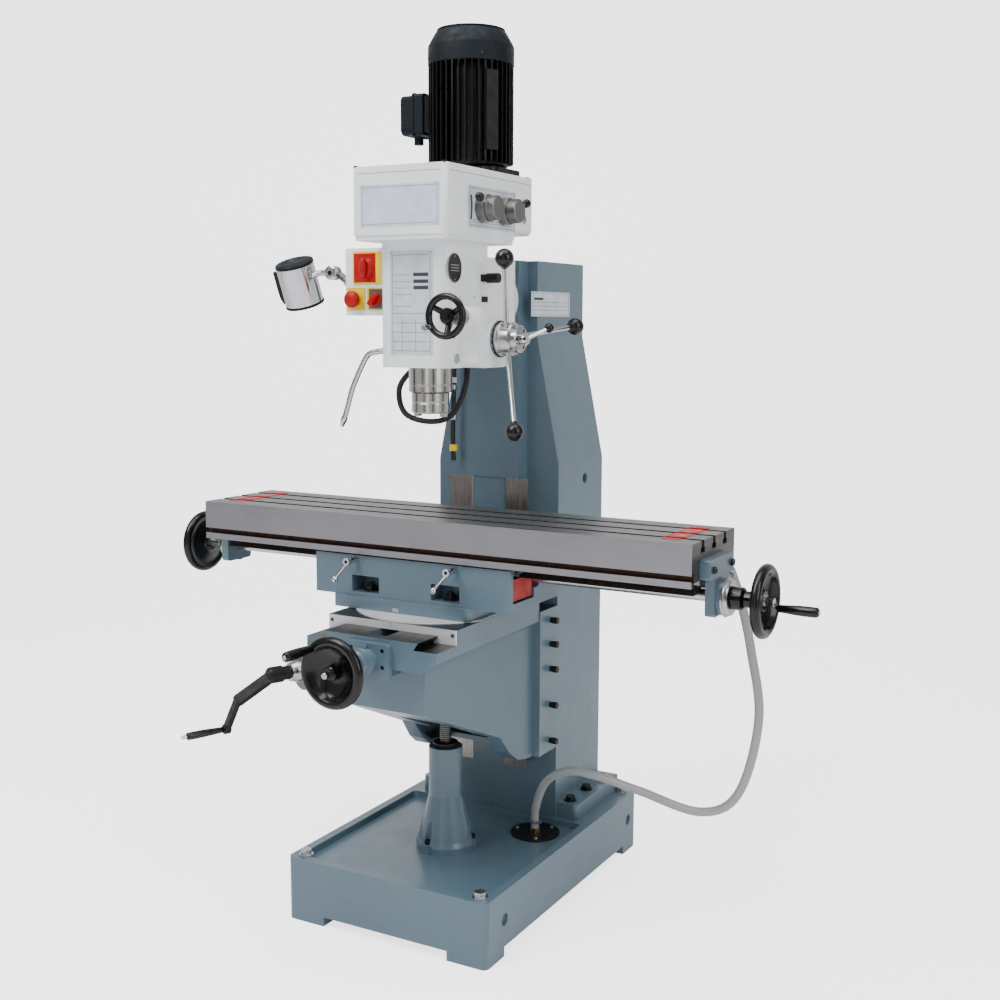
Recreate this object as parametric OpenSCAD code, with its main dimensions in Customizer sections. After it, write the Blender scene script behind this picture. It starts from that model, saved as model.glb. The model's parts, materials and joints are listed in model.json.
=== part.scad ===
// Knee-type vertical milling machine, +Z up, millimetres.
// Origin: centre of the base footprint on the floor. +X along the table, +Y towards the column.

/* [Base] */
// Width of the base casting
base_w = 530; // [526:2:560]
// Depth of the base casting
base_d = 800; // [790:5:840]
// Depth of the coolant tray below the rim
tray_depth = 15; // [8:1:20]

/* [Column] */
// Width of the lower column
column_w = 336; // [330:2:344]
// Width of the column above its taper
neck_w = 215; // [205:5:225]
// Depth of the column box
column_d = 250; // [230:5:255]
// Height of the top of the column
column_top = 1522; // [1515:1:1526]

/* [Table] */
// Length of the table
table_l = 1250; // [1200:10:1250]
// Width of the table
table_w = 250; // [240:2:250]
// Width of each T-slot at its mouth
slot_w = 14; // [12:1:16]
// Distance between T-slots
slot_pitch = 65; // [60:1:68]
// How far the table stands to the right of its middle position
table_x = 43; // [-60:1:60]

/* [Head] */
// Width of the head casting
head_w = 176; // [170:2:176]
// Width of the gearbox
gearbox_w = 240; // [236:2:240]
// Radius over the motor's cooling fins
motor_r = 98; // [92:1:98]

/* [Controls] */
// Radius of the large handwheels
wheel_r = 77; // [72:1:77]
// Radius of the ball knobs on the quill feed
ball_r = 20; // [17:0.5:20]
// Radius of the turning grips
grip_r = 11; // [10:0.5:11]

/* [Hidden] */
$fn = 48;

// Running gap on a radius or a slide face
run = 0.05;

// Colours
paint = "slategray";
cream = "gainsboro";
steel = "silver";
dark = "#202224";

// Base and column
base_h = 150;
rim_w = 22;
deck_y = 108;
foot_x = 100;
foot_y = 80;
foot_gap = 22;
bolt_x = 233;
bolt_y = 372;
wall = 18;
col_y0 = 118;
col_y1 = col_y0 + column_d;
shoulder_z = 1036;
neck_z = 1342;
way_w = 218;
way_y = 72;
way_z0 = 282;
way_z1 = 1003;
way_root = 77;
nose_w = 162;
flange_h = 40;
flange_bolt_y = [149, 240, 331];
flange_bolt_x = 194;

// Elevating screw and pedestal
screw_y = -132;
ped_z = 382;
ped_r = 40;
screw_r = 14;
shaft_z = 625;

// Knee
knee_top = 693;
knee_front = -385;
deck_front = -440;
knee_w = 336;
rail_h = 16.3;
rail_top_w = 242;
rail_low_w = 218;
cross_z = 662;
gib_z = [362, 452, 542, 604, 663];
crank_angle = 24;
crank_len = 142;
arm_turn = 240;

// Cross slide and saddle
swivel_y = -168;
slide_w = 336;
slide_y0 = -360;
slide_y1 = 24;
slide_top = 726;
scale_top = 728;
saddle_w = 514;
saddle_y0 = -285;
saddle_y1 = -45;
saddle_z0 = 757;
saddle_z1 = 850;

// Table
table_z = 945;
table_low = 855;
table_screw_z = 820;
lever_z = 841;
lever_x = [-142, 121];
tx = table_l / 2;
ty0 = swivel_y - table_w / 2;
ty1 = swivel_y + table_w / 2;
channel_x = tx - 62;
wheel_x = tx + 91;
left_x = tx + 95;

// Head
tilt_z = 1430;
quill_y = -193;
quill_r = 48.5;
head_x = head_w / 2;
head_y0 = -270;
head_z0 = 1277;
tilt_y0 = 60;
box_z0 = 1551;
box_z1 = 1707;
box_y0 = -320;
box_y1 = 60;
feed_y = -135;
feed_z = 1340;
feed_r = 18;
spoke_angles = [7.5, 127.5, 247.5];
fine_x = 112;
fine_z = 1389;
motor_y = -14;
motor_z0 = 1723;
motor_z1 = 1957;
motor_z2 = 2037;
speed_y = [-175, -79];
speed_z = 1622;
lamp_pos = [-346, -215, 1466];
knuckle = [-257, -205, 1488];

// Headstock gears: motor pinion, layshaft wheel, layshaft pinion, spindle wheel
gear_m = 2.5;
gear_z = [20, 52, 25, 47];
backlash = 0.35;

// ---------- general shapes ----------
module rrect(x, y, r) {
    square([x - 2 * r, y], center = true);
    square([x, y - 2 * r], center = true);
    for (sx = [-1, 1], sy = [-1, 1]) translate([sx * (x / 2 - r), sy * (y / 2 - r)]) circle(r);
}

// Axis-aligned box from its low and high limits
module box(x0, x1, y0, y1, z0, z1) translate([x0, y0, z0]) cube([x1 - x0, y1 - y0, z1 - z0]);

// The same with rounded upright edges
module box_z(x0, x1, y0, y1, z0, z1, r)
    translate([(x0 + x1) / 2, (y0 + y1) / 2, z0])
        linear_extrude(z1 - z0) rrect(x1 - x0, y1 - y0, r);

// The same with rounded edges along X
module box_x(x0, x1, y0, y1, z0, z1, r)
    translate([x0, (y0 + y1) / 2, (z0 + z1) / 2]) rotate([90, 0, 90])
        linear_extrude(x1 - x0) rrect(y1 - y0, z1 - z0, r);

// The same with rounded edges along Y
module box_y(x0, x1, y0, y1, z0, z1, r)
    translate([(x0 + x1) / 2, y1, (z0 + z1) / 2]) rotate([90, 0, 0])
        linear_extrude(y1 - y0) rrect(x1 - x0, z1 - z0, r);

module cyl_x(r, x0, x1) translate([x0, 0, 0]) rotate([0, 90, 0]) cylinder(r = r, h = x1 - x0);
module cyl_y(r, y0, y1) translate([0, y1, 0]) rotate([90, 0, 0]) cylinder(r = r, h = y1 - y0);

// Hexagon-headed screw standing on z = 0, shank downwards
module hex_bolt(shank_r, shank, head_r, head_h) {
    translate([0, 0, -shank]) cylinder(r = shank_r, h = shank);
    cylinder(r = head_r * 1.45, h = 2);
    translate([0, 0, 2]) cylinder(r = head_r * 1.15, h = head_h, $fn = 6);
}

// Point on a circle
function polar(r, a) = [r * cos(a), r * sin(a)];

// Smooth curve through a list of points
function spline(p, steps) = [
    for (i = [0 : len(p) - 2], k = [0 : steps - 1])
        let (t = k / steps, a = p[max(i - 1, 0)], b = p[i], c = p[i + 1], d = p[min(i + 2, len(p) - 1)])
        0.5 * (2 * b + (c - a) * t + (2 * a - 5 * b + 4 * c - d) * t * t
            + (3 * b - a - 3 * c + d) * t * t * t),
    p[len(p) - 1]];

function unit(v) = v / norm(v);
function path_dir(p, i) = unit(p[min(i + 1, len(p) - 1)] - p[max(i - 1, 0)]);

// Round tube along a path that stays clear of the given side direction
module sweep(path, r, side, sides = 14) {
    n = len(path);
    points = [for (i = [0 : n - 1])
        let (t = path_dir(path, i), u = unit(cross(side, t)), v = cross(t, u))
        for (k = [0 : sides - 1]) path[i] + r * (cos(360 * k / sides) * u + sin(360 * k / sides) * v)];
    walls = [for (i = [0 : n - 2], k = [0 : sides - 1])
        let (a = i * sides + k, b = i * sides + (k + 1) % sides)
        each [[a, a + sides, b], [b, a + sides, b + sides]]];
    polyhedron(points, concat(walls, [[for (k = [0 : sides - 1]) k]],
        [[for (k = [sides - 1 : -1 : 0]) (n - 1) * sides + k]]));
}

// Involute spur gear with one tooth centred on the angle given
function inv(a) = tan(a) * 180 / PI - a;
module spur_gear(teeth, width, phase) {
    pitch = gear_m * teeth / 2;
    rb = pitch * cos(20);
    root = pitch - 1.25 * gear_m;
    tip = pitch + gear_m * 0.95;
    low = max(rb, root) + 0.01;
    half = 90 / teeth - backlash / 2 / pitch * 180 / PI + inv(20);
    steps = 3;
    outline = [for (i = [0 : teeth - 1]) let (a = phase + i * 360 / teeth) each [
        polar(root, a - half),
        for (k = [0 : steps]) let (r = low + (tip - low) * k / steps)
            polar(r, a - half + inv(acos(rb / r))),
        for (k = [steps : -1 : 0]) let (r = low + (tip - low) * k / steps)
            polar(r, a + half - inv(acos(rb / r))),
        polar(root, a + half)]];
    linear_extrude(width) polygon(outline);
}

// Screw with a V-thread drawn as rings, along Z from 0
module ring_screw(r, length, pitch) {
    turns = floor(length / pitch);
    rotate_extrude() polygon(concat([[0, 0]],
        [for (i = [0 : turns - 1], k = [0, 1]) [k == 0 ? r - 1.6 : r, (i + k / 2) * pitch]],
        [[r - 1.6, length], [0, length]]));
}

// Dished handwheel facing +Z, back of its hub at z = 0, with a bore
module handwheel(r, rim, depth, hub_r, hub_h, bore) {
    difference() {
        rotate_extrude() {
            translate([r - rim, depth]) circle(rim, $fn = 32);
            polygon([[0, 0], [hub_r, 0], [hub_r + 2, 8], [r - 2 * rim + 1, depth - rim * 0.55],
                [r - 2 * rim + 1, depth + rim * 0.2], [hub_r + 4, hub_h - 6], [hub_r, hub_h], [0, hub_h]]);
        }
        translate([0, 0, -1]) cylinder(r = bore, h = hub_h + 2);
    }
}

// Turning grip along +Z from 0 with a bore for its pin
module grip(length, r, bore, depth) {
    difference() {
        rotate_extrude() polygon([[0, 0], [r * 0.72, 0], [r * 0.8, length * 0.1], [r, length * 0.62],
            [r * 0.94, length * 0.94], [r * 0.7, length], [0, length]]);
        translate([0, 0, -1]) cylinder(r = bore, h = depth + 1);
    }
}

// ---------- base and column ----------
module base_casting() color(paint) difference() {
    box_z(-base_w / 2, base_w / 2, -base_d / 2, base_d / 2, 0, base_h, 14);
    // coolant tray
    box_z(-base_w / 2 + rim_w, base_w / 2 - rim_w, -base_d / 2 + rim_w, deck_y,
        base_h - tray_depth, base_h + 1, 10);
    // hollow underside
    box_z(-base_w / 2 + wall, base_w / 2 - wall, -base_d / 2 + foot_y, base_d / 2 - foot_y, -1, 112, 12);
    box_z(-base_w / 2 + foot_x, base_w / 2 - foot_x, -base_d / 2 + wall, base_d / 2 - wall, -1, 112, 12);
    // clearance between the feet
    box(-base_w, base_w, -base_d / 2 + foot_y, base_d / 2 - foot_y, -1, foot_gap);
    box(-base_w / 2 + foot_x, base_w / 2 - foot_x, -base_d, base_d, -1, foot_gap);
    // holes for the elevating screw, levelling bolts, column bolts and side ports
    translate([0, screw_y, 0]) cylinder(r = 20, h = base_h);
    for (sx = [-1, 1], sy = [-1, 1]) translate([sx * bolt_x, sy * bolt_y, -1])
        cylinder(r = 8.2, h = base_h + 2);
    for (sx = [-1, 1], y = flange_bolt_y) translate([sx * flange_bolt_x, y, 100])
        cylinder(r = 7.2, h = 60);
    translate([152, 39, 100]) cylinder(r = 30, h = 60);
    for (y = [-318, 350]) translate([0, y, 84]) cyl_x(14, base_w / 2 - 8, base_w / 2 + 1);
}

module column_outline(inset) {
    lower = column_w / 2 - inset;
    upper = neck_w / 2 - inset;
    polygon([[-lower, base_h + inset], [lower, base_h + inset], [lower, shoulder_z], [upper, neck_z],
        [upper, column_top - inset], [-upper, column_top - inset], [-upper, neck_z], [-lower, shoulder_z]]);
}

module column_casting() color(paint) difference() {
    union() {
        translate([0, col_y1, 0]) rotate([90, 0, 0]) linear_extrude(column_d) column_outline(0);
        box_z(-225, 225, col_y0 + 4, col_y1 + 17, base_h, base_h + flange_h, 12);
        box(-nose_w / 2, nose_w / 2, way_y, col_y0, way_z1, column_top);
        translate([0, 0, way_z0]) linear_extrude(way_z1 - way_z0)
            polygon([[-way_w / 2, way_y], [-48, way_y], [-45, way_y + 3], [45, way_y + 3], [48, way_y],
                [way_w / 2, way_y], [way_root, col_y0], [-way_root, col_y0]]);
    }
    translate([0, col_y1 - wall, 0]) rotate([90, 0, 0])
        linear_extrude(column_d - 2 * wall) column_outline(wall);
    // lifting-bar hole
    translate([0, 266, 990]) cyl_x(13, -column_w, column_w);
    // bolt holes in the foot, and room for the levelling bolts at its rear corners
    for (sx = [-1, 1], y = flange_bolt_y) translate([sx * flange_bolt_x, y, base_h - 1])
        cylinder(r = 7.5, h = flange_h + 2);
    for (sx = [-1, 1]) translate([sx * bolt_x, bolt_y, base_h - 1]) cylinder(r = 19, h = flange_h + 2);
    // pivot of the head
    translate([0, 0, tilt_z]) cyl_y(20.05, way_y - 1, col_y0 + 30);
}

module column_plate() color("whitesmoke")
    box(neck_w / 2, neck_w / 2 + 0.8, 85, 290, 1391, 1450);

module base_fasteners() color(steel) {
    for (sx = [-1, 1], sy = [-1, 1]) translate([sx * bolt_x, sy * bolt_y, base_h]) hex_bolt(8, 60, 12, 11);
    for (sx = [-1, 1], y = flange_bolt_y) translate([sx * flange_bolt_x, y, base_h + flange_h])
        hex_bolt(7, flange_h + 30, 11, 10);
}

// Black strainer disc with three screws, a brass nipple and a hose clamp
module strainer_cover() {
    z0 = base_h - tray_depth;
    translate([152, 39, z0]) {
        color(dark) difference() {
            cylinder(r = 60, h = 4);
            translate([0, 0, -1]) cylinder(r = 8, h = 6);
        }
        color("peru") difference() {
            union() {
                translate([0, 0, -14]) cylinder(r = 8, h = 24);
                translate([0, 0, 4]) cylinder(r = 14, h = 9, $fn = 6);
                cylinder(r = 7.5, h = 22);
            }
            translate([0, 0, -15]) cylinder(r = 4.5, h = 60);
        }
        color(steel) for (a = [60, 180, 300]) rotate(a) translate([49, 0, 4]) cylinder(r = 4.5, h = 2.5);
    }
}

drain_path = spline([[152, 39, 158], [154, 38, 205], [190, 22, 283], [262, -6, 325], [345, -20, 331],
    [452, -20, 315], [598, -20, 293], [686, -22, 352], [728, -25, 526], [706, -25, 679], [681, -28, 786],
    [662, -34, 843]], 4);
module drain_hose() color("lightgray") sweep(drain_path, 10, [0, 1, 0.15]);

// Coolant supply line down the column front, with its connectors and yellow band
module supply_hose() {
    line = spline([[-86, 47, 1290], [-86, 47, 1255], [-88, 48, 1180], [-90, 48, 1100], [-88, 48, 1040]], 3);
    color(dark) sweep(line, 6, [0, 1, 0]);
    color(steel) translate([-86, 47, 1236]) difference() {
        cylinder(r = 9, h = 26);
        translate([0, 0, -1]) cylinder(r = 6.6, h = 28);
    }
    color("gold") translate([-89.6, 48, 1064]) difference() {
        cylinder(r = 9.5, h = 16);
        translate([0, 0, -1]) cylinder(r = 6.6, h = 18);
    }
    color(dark) box(-96, -70, 56, 71.9, 1130, 1144);
}

module screw_pedestal() color(paint) translate([0, screw_y, 0]) difference() {
    union() {
        rotate_extrude() polygon([[0, base_h - tray_depth], [71, base_h - tray_depth], [71, 150], [66, 162],
            [ped_r, 264], [ped_r, ped_z], [0, ped_z]]);
        for (a = [20, 140, 260]) rotate(a) translate([46, -13, base_h - tray_depth]) cube([30, 26, 22]);
    }
    translate([0, 0, 100]) cylinder(r = 24, h = 300);
    for (a = [20, 140, 260]) rotate(a) {
        translate([63, 0, 140]) cylinder(r = 5, h = 60);
        translate([63, 0, base_h - tray_depth + 22]) cylinder(r = 9, h = 70);
    }
}

// Black flanged nut in the pedestal with the screw's running bore, and the pedestal's bolts
module elevating_nut() color(dark) translate([0, screw_y, 0]) {
    difference() {
        union() {
            translate([0, 0, ped_z - 40]) cylinder(r = 23.9, h = 40);
            translate([0, 0, ped_z]) cylinder(r = 29, h = 10);
        }
        translate([0, 0, 300]) cylinder(r = screw_r + run, h = 120);
    }
    for (a = [20, 140, 260]) rotate(a) translate([63, 0, base_h - tray_depth + 22]) {
        cylinder(r = 8, h = 8);
        translate([0, 0, -16]) cylinder(r = 4.9, h = 16);
    }
}

// ---------- knee ----------
module crank_axis() translate([0, screw_y, shaft_z]) rotate([90, 0, -crank_angle]) children();

module knee_side(inset) {
    polygon([[knee_front + inset, knee_top - 30], [knee_front + inset, 534 + inset * 1.5],
        [-112, 416 + inset * 1.3], [-71, 366 + inset], [-38, 342 + inset], [0, 336 + inset],
        [way_y - 0.05, 336 + inset],
        [way_y - 0.05, knee_top - 30]]);
}

module knee_plan(inset) polygon([[-104 + inset, knee_front - 1], [104 - inset, knee_front - 1],
    [152 - inset, 18], [152 - inset, way_y + 1], [inset - 152, way_y + 1], [inset - 152, 18]]);

module knee_shell(inset) intersection() {
    rotate([90, 0, 90]) linear_extrude(400, center = true) knee_side(inset);
    translate([0, 0, 300]) linear_extrude(400) knee_plan(inset);
}

module knee_casting() color(paint) difference() {
    union() {
        knee_shell(0);
        // deck with sloping edges
        translate([0, way_y - 0.05, 0]) rotate([90, 0, 0]) linear_extrude(way_y - deck_front)
            polygon([[-168, knee_top], [-168, knee_top - 22], [-130, knee_top - 48], [130, knee_top - 48],
                [168, knee_top - 22], [168, knee_top]]);
        // male dovetail for the cross slide
        translate([0, way_y - 12, knee_top]) rotate([90, 0, 0]) linear_extrude(way_y - 12 - deck_front)
            polygon([[-rail_low_w / 2, -1], [rail_low_w / 2, -1], [rail_top_w / 2, rail_h],
                [-rail_top_w / 2, rail_h]]);
        // claws round the column ways
        translate([0, 0, 336]) linear_extrude(knee_top - 336) {
            polygon([[-171, 22], [-150, 22], [-150, way_y - run], [-way_w / 2 - run, way_y - run],
                [-way_root - 2.9, 114], [-171, 114]]);
            polygon([[171, 22], [150, 22], [150, way_y - run], [way_w / 2 + 8, way_y - run],
                [way_root + 10.9, 114], [171, 114]]);
        }
        // crank shaft housing
        crank_axis() cylinder(r = 36, h = 330);
    }
    difference() {
        translate([0, 0, -wall * 0.3]) knee_shell(wall);
        box(-160, 160, -178, -86, 572, 586);
    }
    // open underside
    box(-60, 60, -250, -10, 300, 571.9);
    box(-100, 100, -110, 54, 300, 500);
    // slot over the cross-feed nut
    box(-26, 26, deck_front + 24, way_y - 30, 615, knee_top + 30);
    crank_axis() cylinder(r = 15.05, h = 400);
    crank_axis() cylinder(r = 26, h = 120);
    crank_axis() translate([0, 0, 330]) cylinder(r = 36 + run, h = 90);
    translate([0, screw_y, 560]) cylinder(r = 16.05, h = 40);
    translate([0, 0, cross_z]) cyl_y(15, deck_front - 1, knee_front + 60);
    // way clearance
    box(-way_w / 2, way_w / 2, way_y - run, 130, 300, 720);
    // gib screws
    for (z = gib_z) translate([0, 78.5, z]) cyl_x(5.05, 100, 180);
}

// Tapered gib between the right claw and the way, with its five adjusting screws
module knee_gib() {
    color(steel) translate([0, 0, 340]) linear_extrude(knee_top - 344)
        polygon([[way_w / 2 + run, way_y + 1], [way_w / 2 + 6.9, way_y + 1], [way_root + 12, 112],
            [way_root + 4.4, 112]]);
    color(dark) for (z = gib_z) translate([0, 78.5, z]) {
        cyl_x(5, 112.5, 176);
        cyl_x(7, 171, 175);
        cyl_x(8, 177, 190);
        cyl_x(5, 176, 178);
    }
}

module cross_screw_bracket() color(paint) difference() {
    union() {
        box_y(-56, 56, deck_front - 14, deck_front - run, 622, knee_top + 7, 6);
        box(-40, 40, deck_front - run, knee_front - run, 622, knee_top - 49);
        translate([0, 0, cross_z]) cyl_y(26, deck_front - 34, deck_front - run);
        translate([0, deck_front - 22, cross_z + 20]) cylinder(r = 5, h = 14);
    }
    translate([0, 0, cross_z]) cyl_y(12 + run, deck_front - 50, knee_front + 1);
    for (sx = [-1, 1], z = [650, 686]) translate([sx * 40, 0, z]) cyl_y(5, deck_front - 15, deck_front - 8);
}

module crank_bearing() color(steel) crank_axis() difference() {
    union() {
        translate([0, 0, 330]) cylinder(r = 36, h = 12);
        translate([0, 0, 342]) cylinder(r = 28, h = 17);
        translate([0, 0, 200]) cylinder(r = 15, h = 140);
    }
    translate([0, 0, 190]) cylinder(r = 11 + run, h = 300);
}

// Crank shaft with its bevel pinion, dial and hub; s is measured along the shaft
module crank_shaft() crank_axis() {
    color(steel) {
        cylinder_between(11, 24, 436);
        rotate_extrude() polygon([[0, 24], [12, 24], [20, 40], [20, 50], [0, 50]]);
        cylinder_between(45, 361, 381);
    }
    color(dark) {
        cylinder_between(24, 381, 409);
        cylinder_between(15, 409, 426);
    }
}
module cylinder_between(r, a, b) translate([0, 0, a]) cylinder(r = r, h = b - a);

// Cranked flat arm with the grip's pin
module crank_arm() color(dark) crank_axis() difference() {
    union() {
        cylinder_between(18, 426, 461);
        rotate(arm_turn) {
            hull() {
                translate([0, -13, 446]) cube([9, 26, 15]);
                translate([55, -13, 512]) cube([8, 26, 14]);
            }
            hull() {
                translate([55, -9, 512]) cube([8, 18, 14]);
                translate([crank_len - 5, -8, 520]) cube([8, 16, 13]);
            }
            translate([crank_len, 0, 518]) cylinder(r = 11, h = 16);
            translate([crank_len, 0, 533]) cylinder(r = 4, h = 97);
        }
    }
    cylinder_between(11, 420, 436);
}

module crank_grip() color(dark) crank_axis() rotate(arm_turn) translate([crank_len, 0, 535])
    grip(85, 8.5, 4 + run, 86);

// Elevating screw with its bevel wheel, collar and plain top journal
module elevating_screw() color(steel) translate([0, screw_y, 0]) {
    translate([0, 0, 255]) ring_screw(screw_r, 305, 5);
    cylinder_between(screw_r, 560, 612);
    cylinder_between(24, 564, 571.9);
    rotate_extrude() polygon([[0, 586.1], [18, 586.1], [18, 589], [40, 589], [40, 604.3], [24, 612.3],
        [0, 612.3]]);
}

// ---------- cross slide and its screw ----------
module cross_slide() color(steel) difference() {
    union() {
        box_z(-slide_w / 2, slide_w / 2, slide_y0, slide_y1, knee_top + run, slide_top, 3);
        // graduated swivel scale, cut flush with the slide's sides
        intersection() {
            translate([0, swivel_y, slide_top - 1]) cylinder(r = 187, h = scale_top - slide_top + 1);
            box(2 - slide_w / 2, slide_w / 2 - 2, slide_y0, slide_y1 - 2, slide_top - 2, scale_top + 1);
        }
    }
    // female dovetail
    translate([0, slide_y1 + 1, knee_top]) rotate([90, 0, 0]) linear_extrude(slide_y1 - slide_y0 + 2)
        polygon([[-rail_low_w / 2 - 0.1, -1], [rail_low_w / 2 + 0.1, -1],
            [rail_top_w / 2 + 0.1, rail_h + 0.1],
            [-rail_top_w / 2 - 0.1, rail_h + 0.1]]);
    // swivel pivot hole
    translate([0, swivel_y, 700]) cylinder(r = 30 + run, h = 40);
}

module cross_nut() color("peru") difference() {
    box(-22, 22, swivel_y - 34, swivel_y + 80, cross_z - 15.5, knee_top + rail_h + 0.1);
    translate([0, 0, cross_z]) cyl_y(12 + run, swivel_y - 60, swivel_y + 100);
}

module cross_screw() color(steel) {
    translate([0, 0, cross_z]) {
        cyl_y(12, -590, 40);
        cyl_y(30, deck_front - 62, deck_front - 36);
        cyl_y(18, deck_front - 112, deck_front - 62);
        cyl_y(7, -606, -590);
    }
}

module cross_handwheel() color(dark) translate([0, -553, cross_z]) rotate([90, 0, 0]) {
    handwheel(wheel_r, 11, 24, 22, 34, 12);
    translate([each polar(wheel_r - 11, 133), 24]) cylinder(r = 5, h = 90);
}
module cross_grip() color(dark) translate([0, -553, cross_z]) rotate([90, 0, 0])
    translate([each polar(wheel_r - 11, 133), 36]) grip(86, grip_r, 5 + run, 80);

// ---------- swivel saddle ----------
module saddle_section() polygon([[saddle_y0, saddle_z0], [saddle_y0, saddle_z1],
    [swivel_y - 52, saddle_z1], [swivel_y - 66, saddle_z1 - 22], [swivel_y + 66, saddle_z1 - 22],
    [swivel_y + 52, saddle_z1], [saddle_y1, saddle_z1], [saddle_y1, saddle_z0]]);

module swivel_saddle() color(paint) difference() {
    union() {
        rotate([90, 0, 90]) linear_extrude(saddle_w, center = true) saddle_section();
        // stepped base above the scale
        box_z(-206, 156, saddle_y0 - 5, swivel_y + 128, scale_top + run, saddle_z0, 10);
        translate([0, swivel_y, knee_top + rail_h + 1]) cylinder(r = 30, h = 30);
    }
    // screw tunnel, open to the right for the nut bracket
    translate([0, swivel_y, table_screw_z]) cyl_x(24, -saddle_w, saddle_w);
    box(saddle_w / 2 - 70, saddle_w / 2 + 1, saddle_y0 + 12, swivel_y - 8, 776, 838);
    // front windows over the swivel bolts
    for (x = [-156, 56]) box(x, x + 74, saddle_y0 - 1, saddle_y0 + 50, 766, 804);
    for (x = [-120, 93]) translate([x, saddle_y0 + 26, 740]) cylinder(r = 8.2, h = 30);
    // lock screw holes
    for (x = lever_x) translate([x, 0, lever_z]) cyl_y(6 + run, saddle_y0 - 1, saddle_y0 + 40);
}

module swivel_bolts() color(steel) for (x = [-120, 93]) translate([x, saddle_y0 + 26, 766]) {
    hex_bolt(8, 26, 11, 10);
    translate([0, 0, 12]) cylinder(r = 6, h = 8);
}

// Red bracket with the table screw's nut
module table_nut() color("red") difference() {
    union() {
        box(saddle_w / 2 - 62, saddle_w / 2 - 4, saddle_y0 + 16, swivel_y - 12, 780, 828);
        translate([0, swivel_y, table_screw_z]) cyl_x(23.9, saddle_w / 2 - 100, saddle_w / 2 - 10);
    }
    translate([0, swivel_y, table_screw_z]) cyl_x(14 + run, 0, saddle_w);
}

module lock_lever(x) color(steel) translate([x, 0, lever_z]) {
    cyl_y(6, saddle_y0 - 30, saddle_y0 + 38);
    difference() {
        cyl_y(8.5, saddle_y0 - 43, saddle_y0 - 28);
        cyl_y(4, saddle_y0 - 44, saddle_y0 - 40);
    }
    translate([-3, saddle_y0 - 34, -4]) rotate([0, 141.2, 189.2]) {
        cylinder(r1 = 4.5, r2 = 4, h = 48);
        translate([0, 0, 50]) sphere(7.5);
    }
}
module table_lock_left() lock_lever(lever_x[0]);
module table_lock_right() lock_lever(lever_x[1]);

// ---------- table ----------
module table_top() color(steel) translate([table_x, 0, 0]) difference() {
    union() {
        box(-tx, tx, ty0, ty1, table_low, table_z);
        // male dovetail in the saddle
        translate([-tx + 18, 0, 0]) rotate([90, 0, 90]) linear_extrude(table_l - 36)
            polygon([for (p = [[51.8, table_low + 1], [51.8, saddle_z1 + 0.2], [65.5, saddle_z1 - 21.5],
                [-65.5, saddle_z1 - 21.5], [-51.8, saddle_z1 + 0.2], [-51.8, table_low + 1]])
                [swivel_y - p[0], p[1]]]);
    }
    for (i = [0 : 2]) {
        box(-tx - 1, tx + 1, slot_y(i) - slot_w / 2, slot_y(i) + slot_w / 2, table_z - 25, table_z + 1);
        box(-tx - 1, tx + 1, slot_y(i) - slot_w / 2 - 5, slot_y(i) + slot_w / 2 + 5,
            table_z - 25, table_z - 14);
    }
    // cross channels near the ends
    for (sx = [-1, 1]) box(sx * channel_x - 21, sx * channel_x + 21, ty0 + 40, ty1 - 32,
        table_z - 8, table_z + 1);
    // stop groove along the front
    box(-tx - 1, tx + 1, ty0 - 1, ty0 + 9, 869, 881);
    box(-tx - 1, tx + 1, ty0 + 5, ty0 + 13, 865, 885);
    // screw tunnel and slide rails' relief
    translate([0, swivel_y, table_screw_z]) cyl_x(26, -tx - 1, tx + 1);
    box(-tx - 1, tx + 1, ty0 + 14, swivel_y - 80, table_low - 1, table_low + 10);
    // bracket screw holes
    for (sx = [0, 1], y = bracket_screw_y) mirror([sx, 0, 0])
        translate([0, swivel_y + y, 886]) cyl_x(5, tx - 26, tx + 1);
}

// Red chip plugs in the cross channels, one between each pair of T-slots and one at each side
function slot_y(i) = swivel_y + (i - 1) * slot_pitch;
module slot_plugs() color("red") translate([table_x, 0, 0]) for (sx = [-1, 1], i = [0 : 3]) {
    y0 = i == 0 ? ty0 + 40 : slot_y(i - 1) + slot_w / 2;
    y1 = i == 3 ? ty1 - 32 : slot_y(i) - slot_w / 2;
    box(sx * channel_x - 20.9, sx * channel_x + 20.9, y0 + 0.5, y1 - 0.5, table_z - 8, table_z + 1);
}

// End bracket carrying the screw; side is +1 at the right and -1 at the left
bracket_screw_y = [-64, 44];
module end_bracket(side) translate([table_x, 0, 0]) mirror([side > 0 ? 0 : 1, 0, 0]) {
    color(paint) difference() {
        union() {
            box_x(tx, tx + 23, swivel_y - 80, swivel_y + 58, 866, 907, 5);
            box_x(tx, tx + 20, swivel_y - 47, swivel_y + 40, table_screw_z - 36, 880, 8);
            translate([0, swivel_y, table_screw_z]) cyl_x(38, tx, tx + 28);
        }
        translate([0, swivel_y, table_screw_z]) cyl_x(13 + run, tx - 1, tx + 60);
        for (y = bracket_screw_y) translate([0, swivel_y + y, 886]) cyl_x(5, tx - 1, tx + 40);
    }
    color(dark) for (y = bracket_screw_y) translate([0, swivel_y + y, 886]) {
        cyl_x(5, tx - 24, tx + 23);
        difference() {
            cyl_x(7.5, tx + 23, tx + 29);
            cyl_x(3.6, tx + 26, tx + 30);
        }
    }
}
module left_bracket() end_bracket(-1);
module right_bracket() end_bracket(1);

module table_axis() translate([table_x, swivel_y, table_screw_z]) children();

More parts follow.
